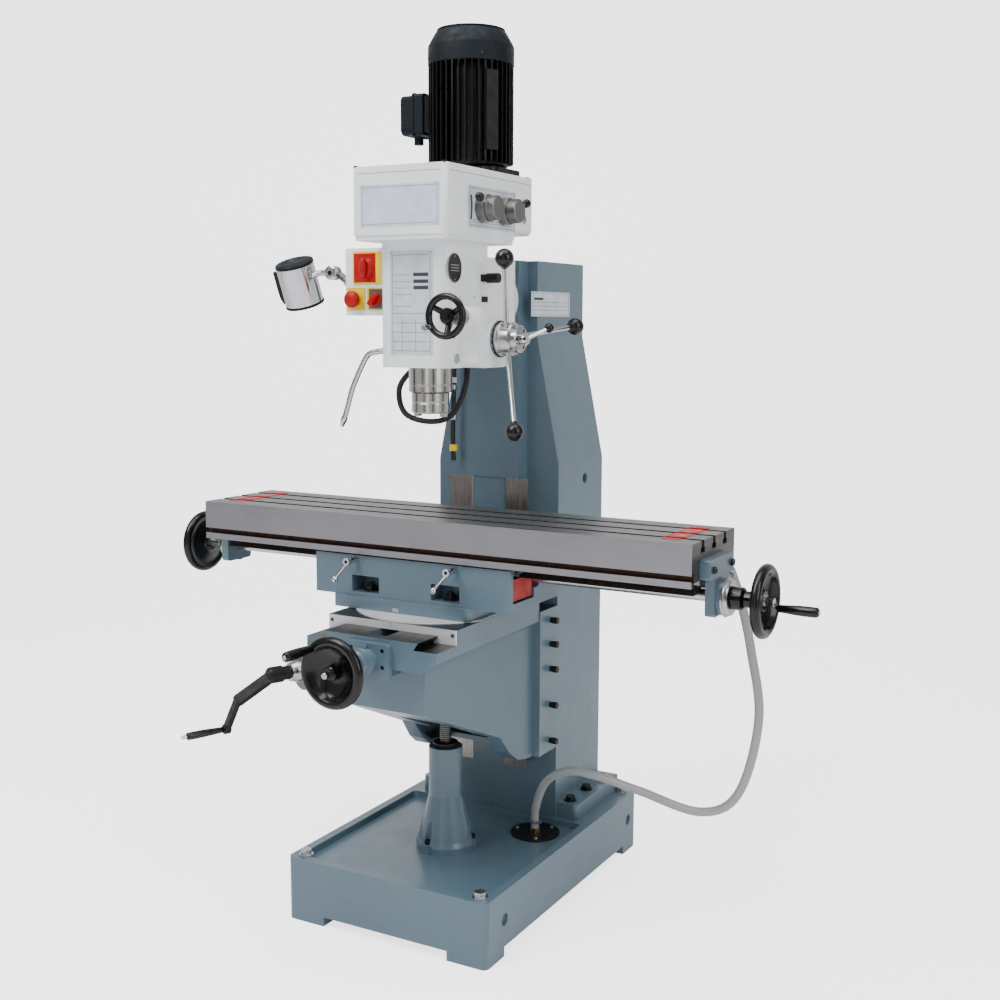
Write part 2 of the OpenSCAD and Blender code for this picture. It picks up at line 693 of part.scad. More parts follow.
// Table screw with a tapered dial at the right and a plain collar at the left
module table_screw() color(steel) table_axis() {
    cyl_x(13, -left_x - 20, wheel_x + 20);
    cyl_x(9, -left_x - 40, wheel_x + 40);
    translate([tx + 28.1, 0, 0]) rotate([0, 90, 0]) cylinder(r1 = 41, r2 = 36, h = 15);
    mirror([1, 0, 0]) cyl_x(36, tx + 28.1, tx + 38);
}
module right_handwheel() color(dark) table_axis() translate([wheel_x, 0, 0]) rotate([0, 90, 0]) {
    difference() {
        union() {
            translate([0, 0, -47.9]) cylinder(r = 24, h = 26);
            translate([0, 0, -22]) cylinder(r = 17, h = 23);
        }
        translate([0, 0, -50]) cylinder(r = 13, h = 60);
    }
    handwheel(wheel_r, 11, 20, 24, 20, 13);
    translate([25, 60, 20]) cylinder(r = 5, h = 88);
}
module right_grip() color(dark) table_axis() translate([wheel_x, 0, 0]) rotate([0, 90, 0])
    translate([25, 60, 32]) grip(84, grip_r, 5 + run, 78);
module left_handwheel() color(dark) table_axis() translate([-left_x, 0, 0]) rotate([0, -90, 0]) {
    handwheel(wheel_r, 11, 20, 24, 20, 13);
    translate([-40, 52, 20]) cylinder(r = 5, h = 88);
}
module left_grip() color(dark) table_axis() translate([-left_x, 0, 0]) rotate([0, -90, 0])
    translate([-40, 52, 32]) grip(84, grip_r, 5 + run, 78);

// ---------- head ----------
module head_casting() color(cream) difference() {
    union() {
        difference() {
            box_z(-head_x, head_x, head_y0, tilt_y0, head_z0, box_z0, 26);
            box(-head_w, head_w, -90, tilt_y0 + 1, head_z0 - 1, 1322);
            box(-head_w, head_w, -90, tilt_y0 + 1, 1522, box_z0 + 1);
        }
        // swivel disc and its spigot in the column
        translate([0, 0, tilt_z]) cyl_y(80, tilt_y0 - 1, way_y - run);
        translate([0, 0, tilt_z]) cyl_y(20, tilt_y0, way_y + 30);
        // worm and pinion housing
        box_x(head_x - 1, 136, -218, -76, head_z0, 1402, 26);
        translate([fine_x, 0, fine_z]) cyl_y(22, -245, -150);
        translate([0, feed_y, feed_z]) cyl_x(40, 100, 142);
        // stop rod lug
        box_x(head_x - 1, head_x + 10, -150, -70, 1462, 1486, 10);
    }
    // quill bore and the wider room above it
    translate([0, quill_y, head_z0 - 1]) cylinder(r = quill_r + run, h = 300);
    // pinion shaft bore and pinion room
    translate([0, feed_y, feed_z]) cyl_x(10 + run, -40, 150);
    translate([0, feed_y, feed_z]) cyl_x(feed_r + 4, -14, 14);
    box(-14, 14, quill_y, feed_y, feed_z - feed_r, feed_z + feed_r);
    // fine feed shaft bore
    translate([fine_x, 0, fine_z]) cyl_y(8 + run, -260, -110);
    // small screw holes on the right side
    for (p = [[-209, 1433], [-148, 1432], [-235, 1343]]) translate([0, p[0], p[1]]) cyl_x(4, head_x - 8, 160);
    box(head_x - 3, head_x + 1, -118, -88, 1421, 1435);
    // nozzle socket and lamp wire hole on the left side
    translate([0, -225, 1312]) cyl_x(7, -head_x - 1, -head_x + 20);
}

module gearbox_casting() color(cream) difference() {
    union() {
        box_z(-gearbox_w / 2, gearbox_w / 2, box_y0, -15, box_z0 + 10, box_z1, 12);
        box_z(-gearbox_w / 2 + 3, gearbox_w / 2 - 3, box_y0 + 3, -18, box_z0, box_z0 + 11, 10);
        box_y(-gearbox_w / 2, gearbox_w / 2, -40, box_y1, 1576, box_z1, 14);
        box(-gearbox_w / 2, gearbox_w / 2, -40, box_y1, 1640, box_z1);
    }
    box(-gearbox_w / 2 + 12, gearbox_w / 2 - 12, box_y0 + 12, -27, box_z0 + 12, box_z1 - 12);
    box(-gearbox_w / 2 + 12, gearbox_w / 2 - 12, -40, box_y1 - 12, 1588, box_z1 - 12);
    translate([0, motor_y, box_z1 - 20]) cylinder(r = 34, h = 30);
    translate([0, quill_y, box_z0 - 1]) cylinder(r = 17 + run, h = 20);
    // bearing recesses of the layshaft
    for (z = [box_z0 + 3, box_z1 - 13]) translate([lay[0], lay[1], z]) cylinder(r = 10 + run, h = 10);
    // speed selector bores
    for (y = speed_y) translate([0, y, speed_z]) cyl_x(9 + run, 100, gearbox_w / 2 + 1);
}

// Outline of evenly spaced cooling fins round a core
function fin_outline(fins) = [for (i = [0 : fins - 1]) let (a = (i + 0.5) * 360 / fins) each
    [polar(82, a - 1.1), polar(motor_r, a - 0.9), polar(motor_r, a + 0.9), polar(82, a + 1.1)]];

// Square foot flange, finned stator shell and end shields
module motor_housing() color(dark) translate([0, motor_y, 0]) difference() {
    union() {
        translate([0, 0, box_z1]) linear_extrude(motor_z0 - box_z1) rrect(200, 148, 30);
        translate([0, 0, motor_z0]) cylinder(r1 = 74, r2 = 84, h = 10);
        translate([0, 0, motor_z0 + 9]) cylinder(r = 84, h = motor_z1 - motor_z0 - 9);
        translate([0, 0, motor_z0 + 14]) linear_extrude(motor_z1 - motor_z0 - 14) polygon(fin_outline(40));
        rotate(-31.5) box(76, motor_r + 4, -15, 15, motor_z0 + 38, motor_z1 - 22);
        translate([-motor_r - 3, -44.5, 1812]) cube([motor_r - 65, 89, 82]);
    }
    translate([0, 0, motor_z0]) cylinder(r = 66, h = motor_z1 - motor_z0 - 12);
    translate([0, 0, box_z1 - 1]) cylinder(r = 12 + run, h = 300);
}

module fan_cover() color(dark) translate([0, motor_y, 0]) difference() {
    rotate_extrude() polygon(concat([[0, motor_z1], [99, motor_z1]],
        [for (a = [0 : 15 : 90]) [81 + 18 * cos(a), motor_z2 - 26 + 26 * sin(a)]], [[0, motor_z2]]));
    translate([0, 0, motor_z1 - 1]) cylinder(r = 95, h = 52);
    translate([0, 0, motor_z1]) cylinder(r = 76, h = motor_z2 - motor_z1 - 4);
    // air grille
    for (r = [24 : 14 : 66], a = [0 : 60 : 300]) rotate(a + 4) rotate_extrude(angle = 50)
        translate([r, motor_z2 - 8]) square([7, 12]);
}

module terminal_box() color(dark) difference() {
    union() {
        box_x(-motor_r - 28, -motor_r - 3, motor_y - 50, motor_y + 50, 1806, 1900, 8);
        box_x(-motor_r - 64, -motor_r - 30, motor_y - 48, motor_y + 48, 1808, 1898, 14);
        box_x(-motor_r - 31, -motor_r - 27, motor_y - 52, motor_y + 52, 1804, 1902, 8);
        translate([-motor_r - 44, motor_y, 1790]) cylinder(r = 11, h = 22);
    }
    box(-motor_r - 58, -motor_r - 8, motor_y - 40, motor_y + 40, 1816, 1890);
}

// Rotor with its shaft, fan and drive pinion
lay = let (a = gear_m * (gear_z[0] + gear_z[1]) / 2, b = gear_m * (gear_z[2] + gear_z[3]) / 2,
    d = motor_y - quill_y, y = (d * d + b * b - a * a) / 2 / d) [sqrt(b * b - y * y), quill_y + y];
function bearing_to(dx, dy) = atan2(dy, dx);
lay_from_motor = bearing_to(lay[0], lay[1] - motor_y);
spindle_from_lay = bearing_to(-lay[0], quill_y - lay[1]);

module motor_rotor() color(steel) translate([0, motor_y, 0]) {
    cylinder_between(12, 1668, 1990);
    cylinder_between(62, motor_z0 + 30, motor_z1 - 30);
    translate([0, 0, 1660]) spur_gear(gear_z[0], 24, lay_from_motor);
    cylinder_between(72, 1968, 1972);
    for (a = [0 : 45 : 315]) rotate(a) translate([20, -1.5, 1971]) cube([50, 3, 22]);
    cylinder_between(22, 1968, 1992);
}

module layshaft() color(steel) translate([lay[0], lay[1], 0]) {
    cylinder_between(10, box_z0 + 3.5, box_z1 - 4);
    translate([0, 0, 1662]) spur_gear(gear_z[1], 20, lay_from_motor + 180 + 180 / gear_z[1]);
    translate([0, 0, 1588]) spur_gear(gear_z[2], 24, spindle_from_lay);
}

// Splined sleeve that turns the spindle while the quill slides
module drive_sleeve() color(steel) translate([0, quill_y, 0]) difference() {
    union() {
        cylinder_between(17, box_z0 - 20, 1630);
        cylinder_between(24, box_z0 + 12.1, 1590);
        translate([0, 0, 1590]) spur_gear(gear_z[3], 20, spindle_from_lay + 180 + 180 / gear_z[3]);
    }
    cylinder_between(12 + run, 1500, 1700);
}

// Blank front, side and head plates with a ruled frame, no lettering
module head_plates() {
    color("white") {
        box_y(-98, 104, box_y0 - 0.8, box_y0, 1579, 1667, 2);
        box_y(-55, 55, head_y0 - 0.8, head_y0, 1305, 1530, 2);
        difference() {
            box_x(gearbox_w / 2, gearbox_w / 2 + 0.8, -231, -20, 1579, 1668, 2);
            for (y = speed_y) translate([0, y, speed_z]) cyl_x(9 + run, 100, gearbox_w / 2 + 2);
        }
    }
    color("dimgray") intersection() {
        translate([0, -235, 1493]) scale([1, 0.9, 1]) cyl_x(32, head_x, head_x + 1.5);
        box(0, 200, -300, -100, 1400, 1600);
    }
}

// Quill with rack teeth down its back and the spindle's bore
module quill() color(steel) translate([0, quill_y, 0]) {
    back = feed_y - quill_y - feed_r;
    difference() {
        cylinder_between(quill_r, 1221, 1500);
        cylinder_between(38, 1180, 1240);
        cylinder_between(24 + run, 1200, 1600);
        translate([-12, back + 2, 1300]) cube([24, 20, 201]);
        for (i = [-2 : 22]) translate([-12, back, feed_z + i * 2 * PI]) rotate([90, 0, 90])
            linear_extrude(24) polygon([[-2.5, -0.75], [2.1, -2.5], [2.1, 2.5], [-2.5, 0.75]]);
    }
}

// Spindle nose, drive dogs and splined tail
module spindle() color(steel) translate([0, quill_y, 0]) difference() {
    union() {
        cylinder_between(42.5, 1174, 1220.5);
        cylinder_between(37.9, 1220, 1236);
        cylinder_between(24, 1230, 1502);
        cylinder_between(12, 1500, 1622);
        for (sx = [-1, 1]) translate([sx * 34 - 6, -8, 1166]) cube([12, 16, 9]);
    }
    translate([0, 0, 1160]) cylinder(r1 = 23.5, r2 = 13, h = 110);
    cylinder_between(8.5, 1200, 1700);
}

// ---------- quill feed ----------
module feed_axis() translate([0, feed_y, feed_z]) rotate([90, 0, 90]) children();
module feed_hub() color(steel) feed_axis() {
    cylinder_between(10, -36, 146);
    // 18-tooth pinion against the rack
    linear_extrude(20, center = true) polygon(pinion_outline(18));
    cylinder_between(41, 142.1, 150);
    cylinder_between(39, 150, 154);
    difference() {
        cylinder_between(37, 154, 186);
        for (a = spoke_angles) rotate(a) spoke_rod();
    }
    difference() {
        cylinder_between(30, 186, 200);
        for (a = [60, 180, 300]) rotate(a) translate([21, 0, 194]) cylinder(r = 3.5, h = 10);
    }
}

// Straight-sided pinion teeth that roll on the quill's rack, module 2
function pinion_outline(teeth) = [for (i = [0 : teeth - 1]) let (a = 180 + i * 360 / teeth) each
    [polar(feed_r - 2.4, a - 6.4), polar(feed_r - 0.6, a - 4.8), polar(feed_r + 1.2, a - 2.4),
     polar(feed_r + 1.2, a + 2.4), polar(feed_r - 0.6, a + 4.8), polar(feed_r - 2.4, a + 6.4)]];

module spoke_rod() translate([22, 0, 169.5]) rotate([0, 73, 0]) cylinder(r = 6, h = 186);

module feed_spokes() feed_axis() for (a = spoke_angles) rotate(a) {
    color(steel) spoke_rod();
    color(dark) translate([30 + 192 * sin(73), 0, 172 + 192 * cos(73)]) sphere(ball_r);
}

module clutch_lever() feed_axis() {
    color(steel) {
        cylinder_between(14, 200.1, 216);
        translate([0, 0, 210]) rotate([0, 62, 25]) cylinder(r = 4.5, h = 62);
    }
    color(dark) translate([0, 0, 210]) rotate([0, 62, 25]) translate([0, 0, 66]) sphere(11);
}

module micro_feed_wheel() translate([fine_x, -245, fine_z]) rotate([90, 0, 0]) {
    color(steel) {
        cylinder_between(8, -120, 70);
        cylinder_between(20, 0.1, 16);
    }
    color(dark) translate([0, 0, 40]) difference() {
        union() {
            rotate_extrude() translate([42, 26]) circle(7, $fn = 32);
            for (a = [30, 150, 270]) rotate(a) translate([10, 0, 9]) rotate([0, 62, 0])
                cylinder(r1 = 7, r2 = 5, h = 35);
            cylinder_between(16, 0, 28);
        }
        cylinder_between(8, -1, 30);
    }
    color(steel) rotate(215) translate([42, 0, 66]) {
        cylinder(r = 3, h = 12);
        translate([0, 0, 12]) cylinder(r = 6.5, h = 22);
    }
}

// Speed selector: knurled hub with a ball lever at the angle given
module speed_lever(y, a) translate([0, y, speed_z]) rotate([90, 0, 90]) {
    color(steel) {
        cylinder_between(9, 104, gearbox_w / 2 + 2);
        cylinder_between(30, gearbox_w / 2 + 1, gearbox_w / 2 + 22);
        cylinder_between(26, gearbox_w / 2 + 22, gearbox_w / 2 + 45);
        rotate(a) translate([24, 0, gearbox_w / 2 + 30]) rotate([0, 90, 0]) cylinder(r = 4, h = 30);
    }
    color(dark) rotate(a) translate([62, 0, gearbox_w / 2 + 30]) sphere(10);
}
module speed_lever_front() speed_lever(speed_y[0], 162);
module speed_lever_rear() speed_lever(speed_y[1], 20);

// ---------- electrical controls ----------
module switch_box() {
    color(cream) difference() {
        box_y(-206, -head_x - 0.05, -226, -160, 1391, 1541, 6);
        box(-202, -head_x - 6, -222, -164, 1395, 1537);
        for (p = [[-146, 1497], [-177, 1427], [-120, 1427]]) translate([p[0], 0, p[1]])
            cyl_y(6 + run, -240, -210);
    }
    color("gold") {
        control_plate(-184, -108, 1461, 1533, 6 + run);
        control_plate(-201, -152, 1403, 1453, 6 + run);
        control_plate(-146, -95, 1403, 1453, 6 + run);
    }
}
module control_plate(x0, x1, z0, z1, bore) difference() {
    box_y(x0, x1, -229, -226, z0, z1, 2);
    for (p = [[-146, 1497], [-177, 1427], [-120, 1427]]) translate([p[0], 0, p[1]]) cyl_y(bore, -240, -210);
}
module power_knob() color("red") translate([-146, 0, 1497]) {
    cyl_y(6, -234, -212);
    cyl_y(22, -240, -229.1);
    box_y(-8, 8, -254, -239, -21, 21, 6);
}
module stop_button() color("red") translate([-177, 0, 1427]) {
    cyl_y(6, -246, -212);
    rotate([90, 0, 0]) rotate_extrude()
        polygon([[0, 236], [14, 236], [19, 243], [19, 249], [15, 255], [0, 257]]);
}
module direction_knob() color("red") translate([-120, 0, 1427]) {
    cyl_y(6, -234, -212);
    cyl_y(15, -238, -229.1);
    rotate([0, -35, 0]) box_y(-6, 6, -252, -237, -16, 16, 5);
}

// ---------- coolant nozzle and work lamp ----------
nozzle_path = spline([[-head_x - 8, -225, 1312], [-118, -226, 1311], [-145, -228, 1302], [-165, -230, 1270],
    [-186, -232, 1226], [-200, -234, 1180], [-214, -236, 1140]], 4);
module coolant_nozzle() color(steel) {
    translate([0, -225, 1312]) cyl_x(7 - run, -head_x - 9, -head_x + 14);
    sweep(nozzle_path, 6.5, [0, 1, 0]);
    translate([-217, -236.4, 1134]) rotate([0, 18, 0]) cylinder(r1 = 4, r2 = 8, h = 14);
}

module lamp_arm() {
    color(dark) {
        translate([-206.05, -205, 1470]) rotate([0, -90, 0]) cylinder(r = 12, h = 16);
        hull() {
            translate([-220, -200, 1470]) sphere(9, $fn = 24);
            translate([-248, -192, 1486]) sphere(9, $fn = 24);
        }
        translate([knuckle[0], 0, knuckle[2]]) cyl_y(16, knuckle[1] + 1, knuckle[1] + 15);
    }
}

// Lamp shade leaning forward at its top, with its knuckle half, handle and lens
module lamp_head() {
    color(steel) translate([knuckle[0], 0, knuckle[2]]) cyl_y(16, knuckle[1] - 14, knuckle[1] + 0.9);
    color(steel) hull() {
        translate([knuckle[0] - 8, knuckle[1] - 7, knuckle[2]]) sphere(6, $fn = 24);
        translate([lamp_pos[0] + 35, -214, 1482]) sphere(6, $fn = 24);
    }
    translate(lamp_pos) rotate([21, -2, 0]) {
        color(steel) difference() {
            cylinder_between(45, -52, 44);
            cylinder_between(42, -53, 20);
        }
        color(dark) {
            cylinder_between(45, 44.1, 52);
            rotate(180) {
                box_x(44, 62, -8, 8, -46, 30, 3);
                box_x(61, 68, -8, 8, -58, 40, 3);
            }
        }
        color("lightyellow") cylinder_between(41.5, -48, -44);
    }
}

base_casting();
column_casting();
column_plate();
base_fasteners();
strainer_cover();
drain_hose();
supply_hose();
screw_pedestal();
elevating_nut();
knee_casting();
knee_gib();
cross_screw_bracket();
crank_bearing();
crank_shaft();
crank_arm();
crank_grip();
elevating_screw();
cross_slide();
cross_nut();
cross_screw();
cross_handwheel();
cross_grip();
swivel_saddle();
swivel_bolts();
table_nut();
table_lock_left();
table_lock_right();
table_top();
slot_plugs();
left_bracket();
right_bracket();
table_screw();
left_handwheel();
right_handwheel();
left_grip();
right_grip();
head_casting();
gearbox_casting();
motor_housing();
fan_cover();
terminal_box();
motor_rotor();
layshaft();
drive_sleeve();
head_plates();
quill();
spindle();
feed_hub();
feed_spokes();
clutch_lever();
micro_feed_wheel();
speed_lever_front();
speed_lever_rear();
switch_box();
power_knob();
stop_button();
direction_knob();
coolant_nozzle();
lamp_arm();
lamp_head();
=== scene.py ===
"""Looks for the vertical knee mill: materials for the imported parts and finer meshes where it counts."""
import json
import math

import bmesh
import bpy
from mathutils import Matrix, Vector


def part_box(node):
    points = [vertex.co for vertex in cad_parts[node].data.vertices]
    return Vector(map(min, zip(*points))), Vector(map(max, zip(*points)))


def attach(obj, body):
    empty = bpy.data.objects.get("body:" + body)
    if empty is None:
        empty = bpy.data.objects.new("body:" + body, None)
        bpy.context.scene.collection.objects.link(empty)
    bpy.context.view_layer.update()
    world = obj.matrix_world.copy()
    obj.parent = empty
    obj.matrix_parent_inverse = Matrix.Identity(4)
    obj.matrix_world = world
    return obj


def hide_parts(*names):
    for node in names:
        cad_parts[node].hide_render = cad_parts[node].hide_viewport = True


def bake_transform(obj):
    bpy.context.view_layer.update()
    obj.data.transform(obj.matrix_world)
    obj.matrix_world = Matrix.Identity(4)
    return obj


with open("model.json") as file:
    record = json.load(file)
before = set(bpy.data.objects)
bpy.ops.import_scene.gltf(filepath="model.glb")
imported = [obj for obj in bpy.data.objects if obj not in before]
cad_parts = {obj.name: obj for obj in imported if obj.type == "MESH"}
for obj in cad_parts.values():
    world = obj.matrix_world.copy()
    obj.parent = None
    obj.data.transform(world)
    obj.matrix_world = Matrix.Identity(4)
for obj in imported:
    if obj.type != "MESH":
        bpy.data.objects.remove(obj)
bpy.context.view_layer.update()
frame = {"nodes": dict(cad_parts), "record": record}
MM = 0.001
BEHAVIOUR = frame["record"]["behaviour"]
JOINT = {joint["name"]: joint for joint in BEHAVIOUR["joints"]}
BODY_OF = {node: body for body, nodes in BEHAVIOUR["bodies"].items() for node in nodes}
X, Y, Z = Vector((1, 0, 0)), Vector((0, 1, 0)), Vector((0, 0, 1))


class Box:
    """A CAD node's limits at rest, in millimetres."""

    def __init__(self, node):
        low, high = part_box(node)
        self.lo = Vector(low) / MM
        self.hi = Vector(high) / MM
        self.mid = (self.lo + self.hi) / 2


def pivot(joint):
    """A joint's point in millimetres."""
    return Vector(JOINT[joint]["pos_m"]) / MM


# ---------- materials ----------
def linear(value):
    value /= 255
    return value / 12.92 if value <= 0.04045 else ((value + 0.055) / 1.055) ** 2.4


def rgb(r, g, b):
    return (linear(r), linear(g), linear(b), 1.0)


class Shader:
    """A node material built step by step round a Principled BSDF."""

    def __init__(self, name, color, rough, metal=0.0, coat=0.0):
        self.mat = bpy.data.materials.new(name)
        self.mat.use_nodes = True
        self.tree = self.mat.node_tree
        self.bsdf = self.tree.nodes["Principled BSDF"]
        self.color = color
        self.bsdf.inputs["Base Color"].default_value = color
        self.bsdf.inputs["Roughness"].default_value = rough
        self.bsdf.inputs["Metallic"].default_value = metal
        self.bsdf.inputs["Coat Weight"].default_value = coat
        self.bsdf.inputs["Coat Roughness"].default_value = 0.12
        self.coords = self.tree.nodes.new("ShaderNodeTexCoord").outputs["Object"]

    def node(self, kind, **settings):
        made = self.tree.nodes.new("ShaderNode" + kind)
        for key, value in settings.items():
            setattr(made, key, value)
        return made

    def link(self, source, target):
        self.tree.links.new(source, target)

    def noise(self, scale, detail=4.0, stretch=(1, 1, 1)):
        """Noise in the part's own space, stretched along an axis where stretch is small."""
        mapping = self.node("Mapping")
        mapping.inputs["Scale"].default_value = stretch
        self.link(self.coords, mapping.inputs["Vector"])
        noise = self.node("TexNoise")
        noise.inputs["Scale"].default_value = scale
        noise.inputs["Detail"].default_value = detail
        self.link(mapping.outputs["Vector"], noise.inputs["Vector"])
        return noise.outputs["Fac"]

    def span(self, value, low, high, start=0.3, end=0.7):
        ranged = self.node("MapRange")
        ranged.inputs["From Min"].default_value = start
        ranged.inputs["From Max"].default_value = end
        ranged.inputs["To Min"].default_value = low
        ranged.inputs["To Max"].default_value = high
        self.link(value, ranged.inputs["Value"])
        return ranged.outputs["Result"]

    def tint(self, value, low, high):
        """Varies the base colour's brightness with a value."""
        mix = self.node("Mix", data_type="RGBA", blend_type="MULTIPLY")
        mix.inputs["Factor"].default_value = 1.0
        ramp = self.span(value, low, high)
        if self.bsdf.inputs["Base Color"].is_linked:
            self.link(self.bsdf.inputs["Base Color"].links[0].from_socket, mix.inputs["A"])
        else:
            mix.inputs["A"].default_value = self.color
        self.link(ramp, mix.inputs["B"])
        self.link(mix.outputs["Result"], self.bsdf.inputs["Base Color"])
        return self

    def rough(self, value, low, high):
        self.link(self.span(value, low, high), self.bsdf.inputs["Roughness"])
        return self

    def bump(self, value, strength, distance):
        bump = self.node("Bump")
        bump.inputs["Strength"].default_value = strength
        bump.inputs["Distance"].default_value = distance
        if self.bsdf.inputs["Normal"].is_linked:
            self.link(self.bsdf.inputs["Normal"].links[0].from_socket, bump.inputs["Normal"])
        self.link(value, bump.inputs["Height"])
        self.link(bump.outputs["Normal"], self.bsdf.inputs["Normal"])
        return self

    def worn_and_highlit_edges(self, color, amount, radius=0.003):
        """Shows another colour in a thin band along sharp edges: worn edges, and where the band is lighter than the
        surface a painted edge highlight as well.
        """
        bevel = self.node("Bevel", samples=4)
        bevel.inputs["Radius"].default_value = radius
        geometry = self.node("NewGeometry")
        dot = self.node("VectorMath", operation="DOT_PRODUCT")
        self.link(bevel.outputs["Normal"], dot.inputs[0])
        self.link(geometry.outputs["True Normal"], dot.inputs[1])
        edge = self.span(dot.outputs["Value"], amount, 0.0, 0.75, 0.98)
        broken = self.node("Math", operation="MULTIPLY")
        self.link(edge, broken.inputs[0])
        self.link(self.span(self.noise(55, 5), 0.1, 1.0), broken.inputs[1])
        mix = self.node("Mix", data_type="RGBA")
        source = self.bsdf.inputs["Base Color"]
        if source.is_linked:
            self.link(source.links[0].from_socket, mix.inputs["A"])
        else:
            mix.inputs["A"].default_value = self.color
        mix.inputs["B"].default_value = color
        self.link(broken.outputs["Value"], mix.inputs["Factor"])
        self.link(mix.outputs["Result"], source)
        return self


def enamel(name, color, edge_wear_and_highlight):
    """Brushed-on machine enamel over a filled casting."""
    paint = Shader(name, color, 0.36, coat=0.3)
    paint.tint(paint.noise(3.5, 6), 0.93, 1.05).tint(paint.noise(38, 5), 0.97, 1.02)
    paint.rough(paint.noise(14, 5), 0.3, 0.44)
    paint.bump(paint.noise(22, 3), 0.14, 0.0016).bump(paint.noise(420, 2), 0.06, 0.0004)
    # Edge band: worn paint, and a painted edge highlight where its colour is lighter than the paint.
    return paint.worn_and_highlit_edges(edge_wear_and_highlight, 0.35).mat


def ground(name, color, along, rough=0.34, contrast=0.1, shine=1.0):
    """Ground or brushed metal whose grain runs along an axis."""
    stretch = tuple(0.02 if abs(a) > 0.5 else 1.0 for a in along)
    metal = Shader(name, color, rough, metal=shine)
    grain = metal.noise(900, 3, stretch)
    metal.tint(grain, 1 - contrast, 1 + contrast).tint(metal.noise(6, 5), 0.9, 1.06)
    metal.rough(metal.noise(300, 4, stretch), rough - 0.07, rough + 0.1)
    return metal.bump(grain, 0.12, 0.0003).mat


def polished(name, color, rough=0.12):
    metal = Shader(name, color, rough, metal=1.0)
    metal.tint(metal.noise(60, 4), 0.93, 1.03)
    metal.rough(metal.noise(90, 5), rough - 0.04, rough + 0.1)
    return metal.bump(metal.noise(700, 2), 0.03, 0.0002).mat


def moulded(name, color, rough, coat, grain=0.05, specular=0.5):
    """Moulded plastic or gloss enamel with a faint orange peel."""
    plastic = Shader(name, color, rough, coat=coat)
    plastic.bsdf.inputs["Specular IOR Level"].default_value = specular
    plastic.tint(plastic.noise(30, 5), 0.9, 1.08)
    plastic.rough(plastic.noise(45, 6), rough * 0.7, rough * 1.6)
    return plastic.bump(plastic.noise(260, 3), grain, 0.0004).mat


def oxide(name, color, rough=0.42):
    metal = Shader(name, color, rough, metal=0.6)
    metal.tint(metal.noise(80, 6), 0.7, 1.3).rough(metal.noise(50, 5), rough - 0.1, rough + 0.14)
    metal.bump(metal.noise(500, 3), 0.08, 0.0003)
    # Grey edge band: bare steel where the oxide is worn through, also a painted edge highlight.
    return metal.worn_and_highlit_edges(rgb(120, 122, 124), 0.4, 0.0015).mat


def braided_hose():
    """Cloudy hose with a reinforcing braid under its skin, patterned by the tube's own UVs."""
    hose = Shader("braided_hose", rgb(150, 152, 155), 0.38, coat=0.2)
    uv = hose.node("TexCoord").outputs["UV"]
    total = None
    for slant in (-1, 1):
        mapping = hose.node("Mapping")
        mapping.inputs["Rotation"].default_value = (0, 0, slant * math.radians(38))
        hose.link(uv, mapping.inputs["Vector"])
        wave = hose.node("TexWave")
        wave.inputs["Scale"].default_value = 3.2
        hose.link(mapping.outputs["Vector"], wave.inputs["Vector"])
        thread = hose.span(wave.outputs["Fac"], 0, 1, 0.75, 0.95)
        if total is None:
            total = thread
            continue
        both = hose.node("Math", operation="MAXIMUM")
        hose.link(total, both.inputs[0])
        hose.link(thread, both.inputs[1])
        total = both.outputs["Value"]
    hose.tint(total, 0.84, 1.3)
    hose.bump(total, 0.12, 0.0004)
    return hose.mat


# Lighter blue-grey along the machine paint's edges: worn paint and a painted edge highlight.
PAINT_EDGE_WEAR_AND_HIGHLIGHT = rgb(128, 146, 156)
M_PAINT = enamel("machine_paint", rgb(86, 108, 122), PAINT_EDGE_WEAR_AND_HIGHLIGHT)
M_CREAM = enamel("head_paint", rgb(243, 246, 248), rgb(222, 224, 222))
M_TABLE_SIDE = ground("table_side", rgb(156, 154, 160), X, 0.42, 0.05)
M_TABLE_TOP = ground("table_top", rgb(134, 134, 134), X, 0.4, 0.14)
M_TABLE_END = ground("table_end", rgb(116, 113, 112), Y, 0.42, 0.1)
# Dark oiled iron that also stands as painted shade: used in the T-slots and on the undersides of the table and the
# slide.
M_SLOT_IRON_AND_SHADE = oxide("slot_iron_and_shade", rgb(52, 46, 42), 0.5)
M_GROOVE = oxide("oiled_groove", rgb(62, 44, 38), 0.5)
M_SLIDE = ground("slide_steel", rgb(222, 223, 226), X, 0.42, 0.05, 0.45)
M_SLIDE_TOP = ground("slide_top", rgb(84, 88, 92), Y, 0.32, 0.1)
M_WAY = ground("ground_way", rgb(150, 143, 138), Z, 0.32, 0.16)
M_KNEE_WAY = ground("knee_way", rgb(84, 82, 80), Y, 0.34, 0.14)
M_STEEL = polished("machined_steel", rgb(190, 190, 190), 0.22)
M_ROUND = ground("turned_steel", rgb(205, 202, 198), Z, 0.2, 0.08)
M_CHROME = polished("chrome_plate", rgb(206, 208, 212), 0.06)
M_ZINC = polished("zinc_plate", rgb(182, 186, 188), 0.3)
M_KNURL = ground("knurled_alloy", rgb(128, 128, 126), Z, 0.42, 0.2)
M_BLACK = moulded("black_phenolic", (0.003, 0.003, 0.0035, 1), 0.2, 0.12, specular=0.36)
M_MOTOR = moulded("motor_enamel", (0.002, 0.0023, 0.0032, 1), 0.36, 0.0, 0.12, 0.25)
M_COVER = moulded("cover_enamel", (0.005, 0.0085, 0.0125, 1), 0.5, 0.0, 0.15, 0.2)
M_OXIDE = oxide("black_oxide", (0.012, 0.012, 0.013, 1))
M_RUBBER = moulded("black_rubber", (0.01, 0.01, 0.011, 1), 0.55, 0.0)
M_RED = moulded("red_plastic", rgb(170, 0, 3), 0.36, 0.05, specular=0.3)
M_YELLOW = moulded("yellow_plastic", rgb(236, 204, 20), 0.34, 0.2)
M_GREY = moulded("grey_plastic", rgb(78, 84, 88), 0.4, 0.1)
